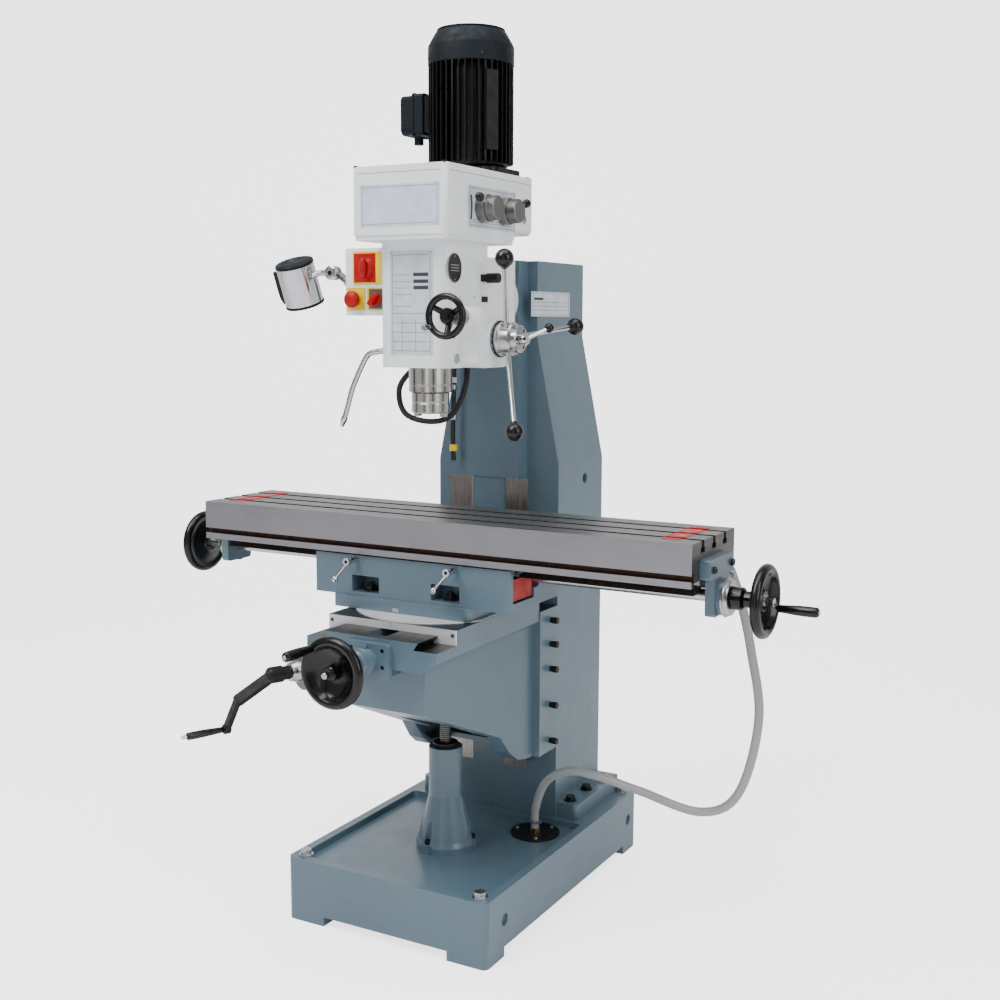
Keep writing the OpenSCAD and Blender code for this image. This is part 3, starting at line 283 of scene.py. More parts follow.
M_BRASS = polished("brass_fitting", rgb(196, 152, 92), 0.24)
M_PLATE = moulded("printed_plate", rgb(206, 213, 222), 0.3, 0.3, 0.02)
M_BLUE_PLATE = moulded("tinted_plate", rgb(206, 219, 236), 0.3, 0.3, 0.02)
M_INK = moulded("plate_ink", rgb(52, 58, 66), 0.45, 0.0, 0.02)
M_BADGE = polished("etched_badge", rgb(70, 70, 71), 0.34)
M_HOSE = braided_hose()
M_LENS = moulded("lamp_lens", rgb(244, 240, 224), 0.2, 0.4)


# ---------- finish of the CAD nodes ----------
def dress(node, base, rules=(), bevel=0.0, segments=2):
    """Gives a CAD node its material, other materials where a rule holds, and softened edges."""
    obj = frame["nodes"][node]
    mesh = obj.data
    mesh.materials.clear()
    for material in [base] + [rule[0] for rule in rules]:
        mesh.materials.append(material)
    for face in mesh.polygons:
        face.material_index = 0
        for number, (_, holds) in enumerate(rules, 1):
            if holds(face.center / MM, face.normal):
                face.material_index = number
    if bevel:
        weld = obj.modifiers.new("weld", "WELD")
        weld.merge_threshold = 0.00002
        soft = obj.modifiers.new("bevel", "BEVEL")
        soft.width = bevel * MM
        soft.segments = segments
        soft.limit_method = "ANGLE"
        soft.angle_limit = math.radians(32)
        soft.harden_normals = True
        soft.use_clamp_overlap = True


def dress_castings():
    way = Box("column_casting").lo.y
    dress("base_casting", M_PAINT, bevel=2.5)
    dress("column_casting", M_PAINT, [
        (M_WAY, lambda c, n: c.z < 1003 and c.y < way + 0.5 and abs(c.x) > 48 and n.y < -0.9),
        (M_WAY, lambda c, n: 283 < c.z < 1003 and way < c.y < 117 and abs(n.x) > 0.5 and abs(c.x) < 110),
    ], bevel=2.5)
    dress("screw_pedestal", M_PAINT)
    top = Box("cross_slide").lo.z
    dress("knee_casting", M_PAINT, [
        (M_KNEE_WAY, lambda c, n: c.z > top - 0.3 and n.y > -0.9),
    ], bevel=2.5)
    dress("cross_screw_bracket", M_PAINT, bevel=1.0)
    dress("swivel_saddle", M_PAINT, bevel=2.0)
    for node in ("left_bracket", "right_bracket"):
        box = Box(node)
        outer = box.hi.x if node == "right_bracket" else box.lo.x
        dress(node, M_PAINT, [
            (M_OXIDE, lambda c, n, mid=box.mid, out=outer: abs(c.z - 886) < 7.7 and 46 < abs(c.y - mid.y - 1) < 62
                and abs(c.x - out) < 5.9),
        ], bevel=1.0)
    dress("head_casting", M_CREAM, bevel=3.0)
    dress("gearbox_casting", M_CREAM, bevel=2.0)


def dress_slides():
    slide = Box("cross_slide")
    dress("cross_slide", M_SLIDE, [
        (M_SLIDE_TOP, lambda c, n: n.z > 0.9 and c.z < slide.hi.z - 0.5),
        (M_PAINT, lambda c, n: abs(c.x - slide.mid.x) > (slide.hi.x - slide.lo.x) / 2 - 0.5),
        # Underside of the slide: painted shade under the part, partly oiled iron.
        (M_SLOT_IRON_AND_SHADE, lambda c, n: n.z < -0.5),
    ], bevel=0.8)
    dress("cross_nut", M_BRASS)
    table = Box("table_top")
    dress("table_top", M_TABLE_SIDE, [
        (M_TABLE_TOP, lambda c, n: n.z > 0.9 and c.z > table.hi.z - 0.5),
        (M_TABLE_END, lambda c, n: abs(n.x) > 0.9),
        # T-slot walls: painted shade in the slots, partly oiled iron.
        (M_SLOT_IRON_AND_SHADE, lambda c, n: table.hi.z - 30 < c.z < table.hi.z - 0.5 and abs(c.y - table.mid.y) < 115
            and abs(n.x) < 0.5),
        (M_GROOVE, lambda c, n: 864 < c.z < 886 and table.lo.y + 0.5 < c.y < table.lo.y + 14),
        # Underside of the table: painted shade under the table, partly oiled iron.
        (M_SLOT_IRON_AND_SHADE, lambda c, n: c.z < 855.5),
    ], bevel=0.6)
    dress("slot_plugs", M_RED, bevel=0.8)
    dress("table_nut", M_RED, bevel=1.0)
    dress("knee_gib", M_OXIDE)


def dress_small_parts():
    nipple = Box("strainer_cover").mid
    floor_z = Box("strainer_cover").hi.z

    def off_axis(c):
        return math.hypot(c.x - nipple.x, c.y - nipple.y)

    dress("strainer_cover", M_OXIDE, [
        (M_BRASS, lambda c, n: off_axis(c) < 15.5 and c.z > floor_z - 18.5),
        (M_ZINC, lambda c, n: 43 < off_axis(c) < 55 and c.z > floor_z - 18),
    ], bevel=0.4)
    dress("base_fasteners", M_OXIDE, [
        (M_ZINC, lambda c, n: abs(c.x) > 212),
    ], bevel=0.6)
    dress("column_plate", M_PLATE)
    dress("elevating_nut", M_OXIDE, bevel=0.8)
    dress("swivel_bolts", M_OXIDE, bevel=0.4)
    dress("crank_bearing", M_STEEL, bevel=0.8)
    dress("head_plates", M_PLATE, [
        (M_BADGE, lambda c, n: c.x > 85 and c.z < 1540),
        (M_BLUE_PLATE, lambda c, n: c.y < -319 and c.z > 1560),
    ])
    dress("switch_box", M_CREAM, [
        (M_YELLOW, lambda c, n: c.y < -226.2),
    ], bevel=0.8)
    for side in ("left", "right"):
        hub = pivot(side + "_table_lock")
        front = Box("table_lock_" + side).lo.y
        dress("table_lock_" + side, M_CHROME, [
            (M_OXIDE, lambda c, n, hub=hub, front=front: math.hypot(c.x - hub.x, c.z - hub.z) < 4.2
                and c.y < front + 14),
        ], bevel=0.5)
    dress("motor_housing", M_MOTOR, bevel=0.5)
    dress("terminal_box", M_COVER, bevel=2.0)
    for node in ("motor_rotor", "layshaft", "drive_sleeve"):
        dress(node, M_STEEL)


# ---------- mesh building ----------
class Build:
    """Collects vertices and faces in millimetres, with a material number and UVs for each face."""

    def __init__(self):
        self.verts = []
        self.faces = []
        self.mats = []
        self.uvs = {}

    def face(self, corners, mat):
        self.faces.append(corners)
        self.mats.append(mat)

    def rings(self, rings, mat, closed_ends=True, mats=None, loop=False):
        """Skins a row of rings of points; a ring of one point closes that end, and a loop joins last to first."""
        starts = []
        for ring in rings:
            starts.append(len(self.verts))
            self.verts.extend(ring)
        for i in range(len(rings) if loop else len(rings) - 1):
            after = (i + 1) % len(rings)
            a, b = starts[i], starts[after]
            na, nb = len(rings[i]), len(rings[after])
            use = mats[i] if mats else mat
            count = max(na, nb)
            for k in range(count):
                k2 = (k + 1) % count
                if na == 1 and nb > 1:
                    self.face((a, b + k, b + k2), use)
                elif nb == 1 and na > 1:
                    self.face((a + k2, a + k, b), use)
                elif na > 1:
                    self.face((a + k2, a + k, b + k, b + k2), use)
        if closed_ends and not loop:
            if len(rings[0]) > 1:
                self.face(tuple(starts[0] + k for k in range(len(rings[0]))), mat)
            if len(rings[-1]) > 1:
                self.face(tuple(starts[-1] + k for k in reversed(range(len(rings[-1])))), mat)

    def lathe(self, origin, axis, profile, mat=0, steps=64, mats=None):
        """Turns a profile of (distance along the axis, radius) points round the axis."""
        u, v, w = across(axis)
        loop = math.dist(profile[0], profile[-1]) < 1e-6
        rings = []
        for along, radius in profile[:-1] if loop else profile:
            if radius <= 0:
                rings.append([origin + w * along])
                continue
            rings.append([
                origin + w * along + (u * math.cos(a) + v * math.sin(a)) * radius
                for a in (2 * math.pi * k / steps for k in range(steps))
            ])
        self.rings(rings, mat, mats=mats, loop=loop)

    def bar(self, a, b, r1, r2=None, mat=0, steps=24, edge=0.6):
        """A round bar from a to b with softened ends."""
        r2 = r1 if r2 is None else r2
        length = (b - a).length
        self.lathe(a, b - a, [(0, 0), (0, r1 - edge), (edge, r1), (length - edge, r2), (length, r2 - edge),
                              (length, 0)], mat, steps)

    def ball(self, centre, radius, mat=0, rows=20, steps=36, axis=Z):
        profile = [(-radius * math.cos(math.pi * i / rows), radius * math.sin(math.pi * i / rows))
                   for i in range(rows + 1)]
        profile[0] = (-radius, 0)
        profile[-1] = (radius, 0)
        self.lathe(centre, axis, profile, mat, steps)

    def tube(self, path, radius, mat=0, steps=20, ends=True):
        """A round tube along a path; radius is a number or a function of the share of its length."""
        normal = None
        rings = []
        for i, point in enumerate(path):
            ahead = path[min(i + 1, len(path) - 1)] - path[max(i - 1, 0)]
            ahead.normalize()
            if normal is None:
                normal = across(ahead)[0]
            normal = (normal - ahead * normal.dot(ahead)).normalized()
            side = ahead.cross(normal)
            r = radius(i / (len(path) - 1)) if callable(radius) else radius
            rings.append([point + (normal * math.cos(a) + side * math.sin(a)) * r
                          for a in (2 * math.pi * k / steps for k in range(steps))])
        first_face = len(self.faces)
        self.rings(rings, mat, ends)
        travelled = 0.0
        turn = 2 * math.pi * (radius(0.5) if callable(radius) else radius)
        for i in range(len(path) - 1):
            step = (path[i + 1] - path[i]).length
            for k in range(steps):
                left, right = k / steps * turn, (k + 1) / steps * turn
                self.uvs[first_face + i * steps + k] = (
                    (right, travelled), (left, travelled), (left, travelled + step), (right, travelled + step))
            travelled += step

    def slab(self, centre, u, v, w, size, mat=0):
        """A box about a centre, with its half axes along u, v and w."""
        a, b, c = (s / 2 for s in size)
        base = len(self.verts)
        for k in (-c, c):
            for i, j in ((-a, -b), (a, -b), (a, b), (-a, b)):
                self.verts.append(centre + u * i + v * j + w * k)
        for quad in ((3, 2, 1, 0), (4, 5, 6, 7), (0, 1, 5, 4), (1, 2, 6, 5), (2, 3, 7, 6), (3, 0, 4, 7)):
            self.face(tuple(base + q for q in quad), mat)

    def make(self, name, body, materials, stands_for=(), bevel=0.0, sharp=32):
        """Turns what was collected into a piece that rides on a body."""
        mesh = bpy.data.meshes.new(name)
        mesh.from_pydata([tuple(v * MM) for v in self.verts], [], self.faces)
        for material in materials:
            mesh.materials.append(material)
        for face, number in zip(mesh.polygons, self.mats):
            face.material_index = number
            face.use_smooth = True
        if self.uvs:
            layer = mesh.uv_layers.new(name="along")
            for index, corners in self.uvs.items():
                for loop, uv in zip(mesh.polygons[index].loop_indices, corners):
                    layer.data[loop].uv = (uv[0] / 10, uv[1] / 10)
        solid = bmesh.new()
        solid.from_mesh(mesh)
        bmesh.ops.recalc_face_normals(solid, faces=solid.faces)
        solid.to_mesh(mesh)
        solid.free()
        mesh.set_sharp_from_angle(angle=math.radians(sharp))
        obj = bpy.data.objects.new(name, mesh)
        bpy.context.collection.objects.link(obj)
        if bevel:
            soft = obj.modifiers.new("bevel", "BEVEL")
            soft.width = bevel * MM
            soft.segments = 2
            soft.limit_method = "ANGLE"
            soft.angle_limit = math.radians(sharp)
            soft.harden_normals = True
        if body:
            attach(obj, body)
        if stands_for:
            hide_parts(*stands_for)
        return obj


def across(axis):
    """Two unit vectors across an axis, and the axis as a unit vector."""
    w = axis.normalized()
    helper = Z if abs(w.z) < 0.9 else Y
    u = helper.cross(w).normalized()
    return u, w.cross(u), w


def arc(centre_s, centre_r, radius, start, end, steps):
    """Profile points on an arc, angles in degrees from the axis direction."""
    return [(centre_s + radius * math.cos(math.radians(start + (end - start) * i / steps)),
             centre_r + radius * math.sin(math.radians(start + (end - start) * i / steps)))
            for i in range(steps + 1)]


def curve(points, steps):
    """A smooth path through points."""
    path = []
    for i in range(len(points) - 1):
        a, b = points[max(i - 1, 0)], points[i]
        c, d = points[i + 1], points[min(i + 2, len(points) - 1)]
        for k in range(steps):
            t = k / steps
            path.append(0.5 * (2 * b + (c - a) * t + (2 * a - 5 * b + 4 * c - d) * t * t
                               + (3 * b - a - 3 * c + d) * t ** 3))
    path.append(points[-1].copy())
    return path


def ticks(build, origin, axis, radius, near, far, count, mat, proud=0.25, every=5, width=0.8):
    """Graduations round a dial: longer ones at each fifth line."""
    u, v, w = across(axis)
    for i in range(count):
        a = 2 * math.pi * i / count
        out = u * math.cos(a) + v * math.sin(a)
        reach = far if i % every == 0 else near + (far - near) * 0.6
        build.slab(origin + w * (near + reach) / 2 + out * radius, w.cross(out), w, out,
                   (width, abs(reach - near), proud * 2), mat)


# ---------- handwheels and grips ----------
def add_wheel(build, origin, axis, radius, rim, dish, hub_r, hub_h, web):
    """Dished gloss wheel: its rim stands forward of a thin web, with a raised hub."""
    centre_r = radius - rim
    profile = [(0, 0), (0, hub_r - 1.5), (1.5, hub_r), (web - 5, hub_r + 2)]
    profile += [(web - 5 + (dish - 0.55 * rim - web + 5) * t ** 1.6, hub_r + 2 + (centre_r - rim - hub_r) * t)
                for t in (0.3, 0.6, 0.85)]
    profile += arc(dish, centre_r, rim, 213, -42, 18)
    profile += [(web + (dish + 0.1 * rim - web) * t ** 1.8, hub_r + 5 + (centre_r - 0.95 * rim - hub_r - 5) * t)
                for t in (1, 0.8, 0.55, 0.3, 0.1)]
    profile += [(web + 1, hub_r + 1.5), (hub_h - 2, hub_r - 1), (hub_h, hub_r - 3), (hub_h, 0)]
    build.lathe(origin, axis, profile, 0, 72)


def grip_profile(length, radius):
    """Turned handle: narrow at the wheel, fuller towards its rounded end."""
    waist = [(length * t, radius * (0.74 + 0.26 * math.sin(math.pi / 2 * min(t / 0.68, 1)) ** 1.4))
             for t in (0.12, 0.25, 0.4, 0.55, 0.68, 0.82)]
    return ([(0, 0), (0, radius * 0.66), (1.2, radius * 0.74)] + waist
            + arc(length - radius * 0.56, radius * 0.42, radius * 0.56, 90, 10, 6)
            + [(length, radius * 0.42), (length, 0)])


def grips():
    """Each grip spans its CAD node's length and turns about its joint."""
    straight = (("cross_grip", -Y, "y"), ("left_grip", -X, "x"), ("right_grip", X, "x"))
    for node, outward, letter in straight:
        box = Box(node)
        start = getattr(box.hi if outward.dot(Vector((1, 1, 1))) < 0 else box.lo, letter)
        length = abs(getattr(box.hi, letter) - getattr(box.lo, letter))
        at = pivot(node + "_spin")
        at[{"x": 0, "y": 1}[letter]] = start
        turned_grip(node, at, outward, length, 11)
    outward = -Vector(JOINT["crank_grip_spin"]["axis"]).normalized()
    at = pivot("crank_turn")
    middle = Box("crank_grip").mid
    offset = pivot("crank_grip_spin") - at
    offset -= outward * offset.dot(outward)
    turned_grip("crank_grip", at + offset + outward * ((middle - at - offset).dot(outward) - 42.5), outward, 85, 8.5)


def turned_grip(node, start, outward, length, radius):
    made = Build()
    made.lathe(start, outward, grip_profile(length - 1.5, radius), 0, 40)
    pin = radius * 0.43
    made.lathe(start + outward * (length - 2), outward, [(0, 0), (0, pin), (1.4, pin), (2, pin - 0.5), (2, 0)], 1, 24)
    made.make(node + "_turned", BODY_OF[node], [M_BLACK, M_ZINC], [node])


def handwheels():
    screw = pivot("cross_screw_turn")
    back = Box("cross_handwheel").hi.y
    wheel = Build()
    add_wheel(wheel, Vector((screw.x, back, screw.z)), -Y, 77, 11, 24, 16, 34, 10)
    pin = pivot("cross_grip_spin")
    wheel.bar(Vector((pin.x, back - 20, pin.z)), Vector((pin.x, back - 40, pin.z)), 8, mat=0)
    wheel.make("cross_handwheel_rim", "cross_screw", [M_BLACK], ["cross_handwheel"])

    shaft = pivot("table_screw_turn")
    right = Box("right_handwheel")
    outer = Box("right_grip").lo.x - 32
    wheel = Build()
    add_wheel(wheel, Vector((outer, shaft.y, shaft.z)), X, 77, 11, 20, 24, 20, 8)
    wheel.lathe(Vector((right.lo.x, shaft.y, shaft.z)), X,
                [(0, 0), (0, 22.5), (1.5, 24), (22, 24), (26, 20), (28, 17), (outer - right.lo.x, 17),
                 (outer - right.lo.x, 0)], 0, 48)
    pin = pivot("right_grip_spin")
    wheel.bar(Vector((outer + 16, pin.y, pin.z)), Vector((outer + 34, pin.y, pin.z)), 8, mat=0)
    wheel.make("right_handwheel_rim", "table_screw", [M_BLACK], ["right_handwheel"])

    inner = Box("left_grip").hi.x + 32
    wheel = Build()
    add_wheel(wheel, Vector((inner, shaft.y, shaft.z)), -X, 77, 11, 20, 24, 20, 8)
    pin = pivot("left_grip_spin")
    wheel.bar(Vector((inner - 16, pin.y, pin.z)), Vector((inner - 34, pin.y, pin.z)), 8, mat=0)
    wheel.make("left_handwheel_rim", "table_screw", [M_BLACK], ["left_handwheel"])


# ---------- screws, dials and the crank ----------
def elevating_screw():
    """Cut thread with a real helix, its bevel wheel and journals; the roots between the crests are black oxide as
    painted shade.
    """
    box = Box("elevating_screw")
    foot = Vector((box.mid.x, box.mid.y, box.lo.z))
    pitch, steps, tall = 5.0, 28, 300.0
    screw = Build()
    # Black oxide core: in the thread roots between the crests this dark is painted shade.
    screw.lathe(foot, Z, [(0, 0), (0, 11.5), (1, 12.4), (tall, 12.4), (tall + 1, 14), (331, 14), (331, 18), (334, 18),
                          (334, 40), (349, 40), (357, 24), (357, 0)], 1, 64)
    section = ((11.8, -0.42), (14, -0.16), (14, 0.16), (11.8, 0.42))
    rings = []
    for i in range(int(tall / pitch * steps) + 1):
        a = 2 * math.pi * i / steps
        rings.append([foot + Vector((r * math.cos(a), r * math.sin(a), (i / steps + 0.5 + s) * pitch))
                      for r, s in section])
    screw.rings(rings, 0)
    screw.make("elevating_screw_thread", "elevating_screw", [M_KNURL, M_OXIDE], ["elevating_screw"], sharp=40)


def dials():
    """Graduated collars and nuts on the three lead screws."""
    screw = pivot("cross_screw_turn")
    cross = Box("cross_screw")
    ring = Build()
    front = Vector((screw.x, Box("cross_screw_bracket").lo.y - 2, screw.z))
    ring.lathe(front, -Y, [(0, 0), (0, 30), (1, 31), (3, 31), (4, 30), (20, 29.4), (24, 26), (26, 26), (26, 18.5),
                           (64, 18.5), (72, 17), (76, 15), (76, 0)], 0, 72, mats=[1] * 8 + [0] * 4)
    ring.lathe(Vector((screw.x, cross.lo.y + 30, screw.z)), -Y,
               [(0, 0), (0, 13), (1, 14), (9, 14), (10, 12), (10, 8), (28, 7), (30, 5.5), (30, 0)], 0, 40)
    ring.lathe(Vector((screw.x, cross.hi.y, screw.z)), -Y,
               [(0, 0), (0, 11), (1, 12), (cross.hi.y - front.y - 2, 12), (cross.hi.y - front.y, 12),
                (cross.hi.y - front.y, 0)], 0, 32)
    ring.make("cross_screw_dial", "cross_screw", [M_STEEL, M_PAINT], ["cross_screw"])

    shaft = pivot("table_screw_turn")
    table = Box("table_screw")
    ring = Build()
    right = Vector((Box("right_bracket").hi.x - 0.9, shaft.y, shaft.z))
    hub = table.hi.x - 20 - right.x
    ring.lathe(right, X, [(0, 0), (0, 40), (1, 41), (4, 41), (4.6, 40), (7.5, 38.4), (8.2, 38.8), (13, 37),
                          (14.8, 35), (14.8, 13), (hub, 13), (hub, 9), (hub + 19, 9), (hub + 20, 8), (hub + 20, 0)],
               0, 72)
    reach = right.x - table.lo.x
    ring.lathe(Vector((table.lo.x, shaft.y, shaft.z)), X,
               [(0, 0), (0, 8), (1, 9), (20, 9), (20, 13), (reach, 13), (reach, 0)], 0, 32)
    left = Vector((Box("left_bracket").lo.x + 0.9, shaft.y, shaft.z))
    ring.lathe(left, -X, [(0, 0), (0, 35), (1.2, 36), (8, 36), (9.8, 35), (9.8, 0)], 0, 72)
    ticks(ring, right, X, 39.2, 5, 7, 100, 1, width=0.7)
    ring.make("table_screw_dial", "table_screw", [M_STEEL, M_INK], ["table_screw"])


def crank():
    """Elevating crank: graduated dial, black hub, clutch claw and a cranked flat arm."""
    out = -Vector(JOINT["crank_turn"]["axis"]).normalized()
    at = pivot("crank_turn")
    made = Build()
    made.lathe(at, out, [(24, 0), (24, 12), (40, 20), (50, 20), (50, 11), (361, 11), (361, 43), (363, 45), (379, 44),
                         (381, 42), (381, 24), (383, 24), (395, 24), (400, 22), (409, 20), (410, 15), (426, 15),
                         (426, 11), (435, 10), (435, 0)], 0, 72,
               mats=[0] * 5 + [3] * 5 + [0] * 5 + [1] * 4)
    ticks(made, at, out, 44.4, 364, 373, 60, 2, width=0.9)
    made.make("crank_dial", "crank", [M_STEEL, M_OXIDE, M_INK, M_KNURL], ["crank_shaft"])

    grip_at = pivot("crank_grip_spin") - at
    reach = grip_at - out * grip_at.dot(out)
    radial = reach.normalized()
    arm = Build()
    arm.lathe(at, out, [(426, 0), (426, 16), (428, 18), (456, 18), (461, 14), (461, 0)], 0, 48)
    wide = radial.cross(out)
    elbow = at + out * 518 + radial * 60
    for a, b, width, thick in ((at + out * 453 + radial * 4, elbow, 26, 13),
                               (elbow - radial * 4, at + reach + out * 526, 17, 12)):
        along = (b - a).normalized()
        arm.slab((a + b) / 2, along, wide, along.cross(wide), ((b - a).length, width, thick), 0)
    arm.lathe(elbow, wide, [(-12.5, 0), (-12.5, 6), (12.5, 6), (12.5, 0)], 0, 24)
    arm.make("crank_arm_cast", "crank", [M_OXIDE], ["crank_arm"], bevel=2.0)
    boss = Build()
    boss.lathe(at + reach, out, [(518, 0), (518, 9), (520, 11), (532, 11), (534, 9), (534, 4), (536, 4), (536, 0)],
               0, 32)
    boss.lathe(at + reach, out, [(619, 0), (619, 4), (628.5, 4), (630, 3), (630, 0)], 1, 24)
    boss.make("crank_pin", "crank", [M_OXIDE, M_CHROME])


# ---------- quill, spindle and its feed ----------
def spindle_nose():
    quill = Box("quill")
    spindle = Box("spindle")
    foot = Vector((quill.mid.x, quill.mid.y, 0))
    sleeve = Build()
    radius = (quill.hi.x - quill.lo.x) / 2
    low = quill.lo.z
    sleeve.lathe(foot, Z, [(low + 20, 25), (low, 38), (low, radius - 2), (low + 2, radius), (low + 14, radius),
                           (low + 15, radius - 0.7), (low + 17, radius - 0.7), (low + 18, radius),
                           (quill.hi.z - 1, radius), (quill.hi.z, radius - 1), (quill.hi.z, 25), (low + 20, 25)],
                 0, 96)
    sleeve.make("quill_sleeve", "quill", [M_ROUND], ["quill"])
    nose = Build()
    tip = spindle.lo.z + 8
    nose.lathe(foot, Z, [(tip + 60, 13), (tip, 23.5), (tip, 38), (tip + 1.5, 41), (tip + 3, 42.5), (tip + 22, 42.5),
                         (tip + 23, 41.8), (tip + 25, 41.8), (tip + 26, 42.5), (tip + 45, 42.5), (tip + 46, 41),
                         (tip + 46, 24), (spindle.hi.z - 120, 24), (spindle.hi.z - 120, 12), (spindle.hi.z, 12),
                         (spindle.hi.z, 8.5), (tip + 60, 8.5), (tip + 60, 13)], 0, 96)
    for side in (-1, 1):
        nose.slab(foot + Vector((side * 34, 0, tip - 3.8)), X, Y, Z, (11.4, 15.4, 8.4), 0)
    nose.make("spindle_nose", "spindle", [M_ROUND], ["spindle"], bevel=0.5)


def quill_feed():
    """Graduated hub, three chromed spokes with ball knobs, and the clutch lever."""
    at = pivot("quill_feed")
    box = Box("feed_hub")
    centre = Vector((0, at.y, at.z))
    s = box.hi.x - 200
    hub = Build()
    hub.lathe(centre + X * s, X,
              [(box.lo.x - s + 2, 0), (box.lo.x - s + 2, 9.5), (140, 9.5), (142.1, 9.5), (142.1, 40), (143, 41),
               (149, 41), (150, 40), (150, 38.4), (156, 38.4), (158, 37), (182, 37), (186, 34), (186, 30),
               (198, 30), (200, 28), (200, 0)], 0, 96,
              mats=[0] * 4 + [1] * 4 + [0] * 8)
    ticks(hub, centre + X * s, X, 40.8, 143.5, 148.5, 90, 2, width=0.9)
    for i in range(3):
        a = math.radians(60 + 120 * i)
        screw = centre + X * (s + 198) + (Y * math.cos(a) + Z * math.sin(a)) * 21
        hub.lathe(screw, X, [(0, 0), (0, 4.4), (1.6, 4.4), (2, 4), (2, 0)], 1, 6)
    hub.make("feed_hub_turned", "feed", [M_STEEL, M_OXIDE, M_PLATE], ["feed_hub"])

    spokes = Build()
    tilt = math.radians(73)
    for i in range(3):
        a = math.radians(7.5 + 120 * i)
        radial = Y * math.cos(a) + Z * math.sin(a)
        along = radial * math.sin(tilt) + X * math.cos(tilt)
        root = centre + X * (s + 172) + radial * 30
        spokes.lathe(root, along, [(-4, 0), (-4, 7.2), (4, 7.2), (10, 6.2), (60, 5.4), (120, 4.9), (168, 5.6),
                                   (178, 6.6), (184, 6.6), (184, 0)], 0, 28)
        spokes.ball(root + along * 192, 20, 1, 24, 40, axis=along)
        spokes.lathe(root + along * 170, along, [(0, 6), (0, 8.6), (3, 9.4), (6, 9)], 1, 28)
    spokes.make("feed_spokes_turned", "feed", [M_CHROME, M_BLACK], ["feed_spokes"])

    lever = Build()
    lever.lathe(centre + X * (s + 200.1), X, [(0, 0), (0, 13), (1.5, 14), (12, 14), (16, 11), (16, 0)], 0, 40)
    lean, turn = math.radians(62), math.radians(25)
    along = (Y * math.cos(turn) + Z * math.sin(turn)) * math.sin(lean) + X * math.cos(lean)
    root = centre + X * (s + 210)
    lever.lathe(root, along, [(0, 0), (0, 5), (56, 3.9), (60, 5), (63, 5), (63, 0)], 0, 24)
    lever.ball(root + along * 66, 11, 1, 16, 28, axis=along)
    lever.make("clutch_lever_turned", "clutch", [M_CHROME, M_BLACK], ["clutch_lever"])


def fine_feed_wheel():
    """Three-spoked gloss wheel with a chromed spinner."""
    at = pivot("micro_feed_turn")
    front = Box("micro_feed_wheel")
    centre = Vector((at.x, front.hi.y - 120, at.z))
    made = Build()
    made.lathe(centre, -Y, [(-115, 0), (-115, 8), (0.1, 8), (0.1, 19), (1.5, 20), (14, 20), (16, 18), (16, 9),
                            (66, 8)], 1, 48)
    rim = [(66 + 7.5 * math.sin(2 * math.pi * k / 20), 42 + 7.5 * math.cos(2 * math.pi * k / 20)) for k in range(21)]
    made.lathe(centre, -Y, rim, 0, 64)
    made.lathe(centre, -Y, [(38, 0), (38, 14), (40, 17), (62, 18), (66, 15), (67, 9), (69, 8), (69.5, 0)], 0, 48)
    for i in range(3):
        a = math.radians(30 + 120 * i)
        out = X * math.cos(a) + Z * math.sin(a)
        made.tube(curve([centre - Y * 50 + out * 10, centre - Y * 56 + out * 26, centre - Y * 64 + out * 41], 5),
                  lambda t: 8 - 2 * t, 0, 16)
    a = math.radians(215)
    spinner = centre - Y * 66 + (X * math.cos(a) + Z * math.sin(a)) * 42
    made.lathe(spinner, -Y, [(0, 0), (0, 4), (11, 4), (12, 6), (16, 7), (30, 7), (34, 5), (34, 0)], 2, 28)
    made.make("micro_feed_wheel_turned", "micro_feed", [M_BLACK, M_STEEL, M_CHROME], ["micro_feed_wheel"])


def speed_levers():
    """Knurled selector hubs with ball levers, on a gearbox side plate."""
    for name, node, lean in (("front", "speed_lever_front", 162), ("rear", "speed_lever_rear", 20)):
        at = pivot(name + "_speed_select")
        side = Box("gearbox_casting").hi.x + 1
        centre = Vector((side, at.y, at.z))
        made = Build()
        made.lathe(centre, X, [(-14, 0), (-14, 9), (0, 9), (0, 28.5), (1.5, 30), (19, 30), (21, 28.5), (21, 26),
                               (42, 26), (44, 24), (44, 0)], 0, 72)
        flutes = 40
        for i in range(flutes):
            a = 2 * math.pi * i / flutes
            out = Y * math.cos(a) + Z * math.sin(a)
            made.slab(centre + X * 32 + out * 25.9, X, X.cross(out), out, (18, 1.6, 1.0), 0)
        a = math.radians(lean)
        out = Y * math.cos(a) + Z * math.sin(a)
        root = centre + X * 29
        made.lathe(root, out, [(20, 0), (20, 4.4), (54, 3.6), (54, 0)], 1, 20)
        made.lathe(root, out, [(52, 0), (52, 6), (54, 8)] + arc(62, 0, 10, 125, 0, 12) + [(72, 0)], 2, 32)
        made.make(node + "_turned", BODY_OF[node], [M_KNURL, M_ZINC, M_BLACK], [node])


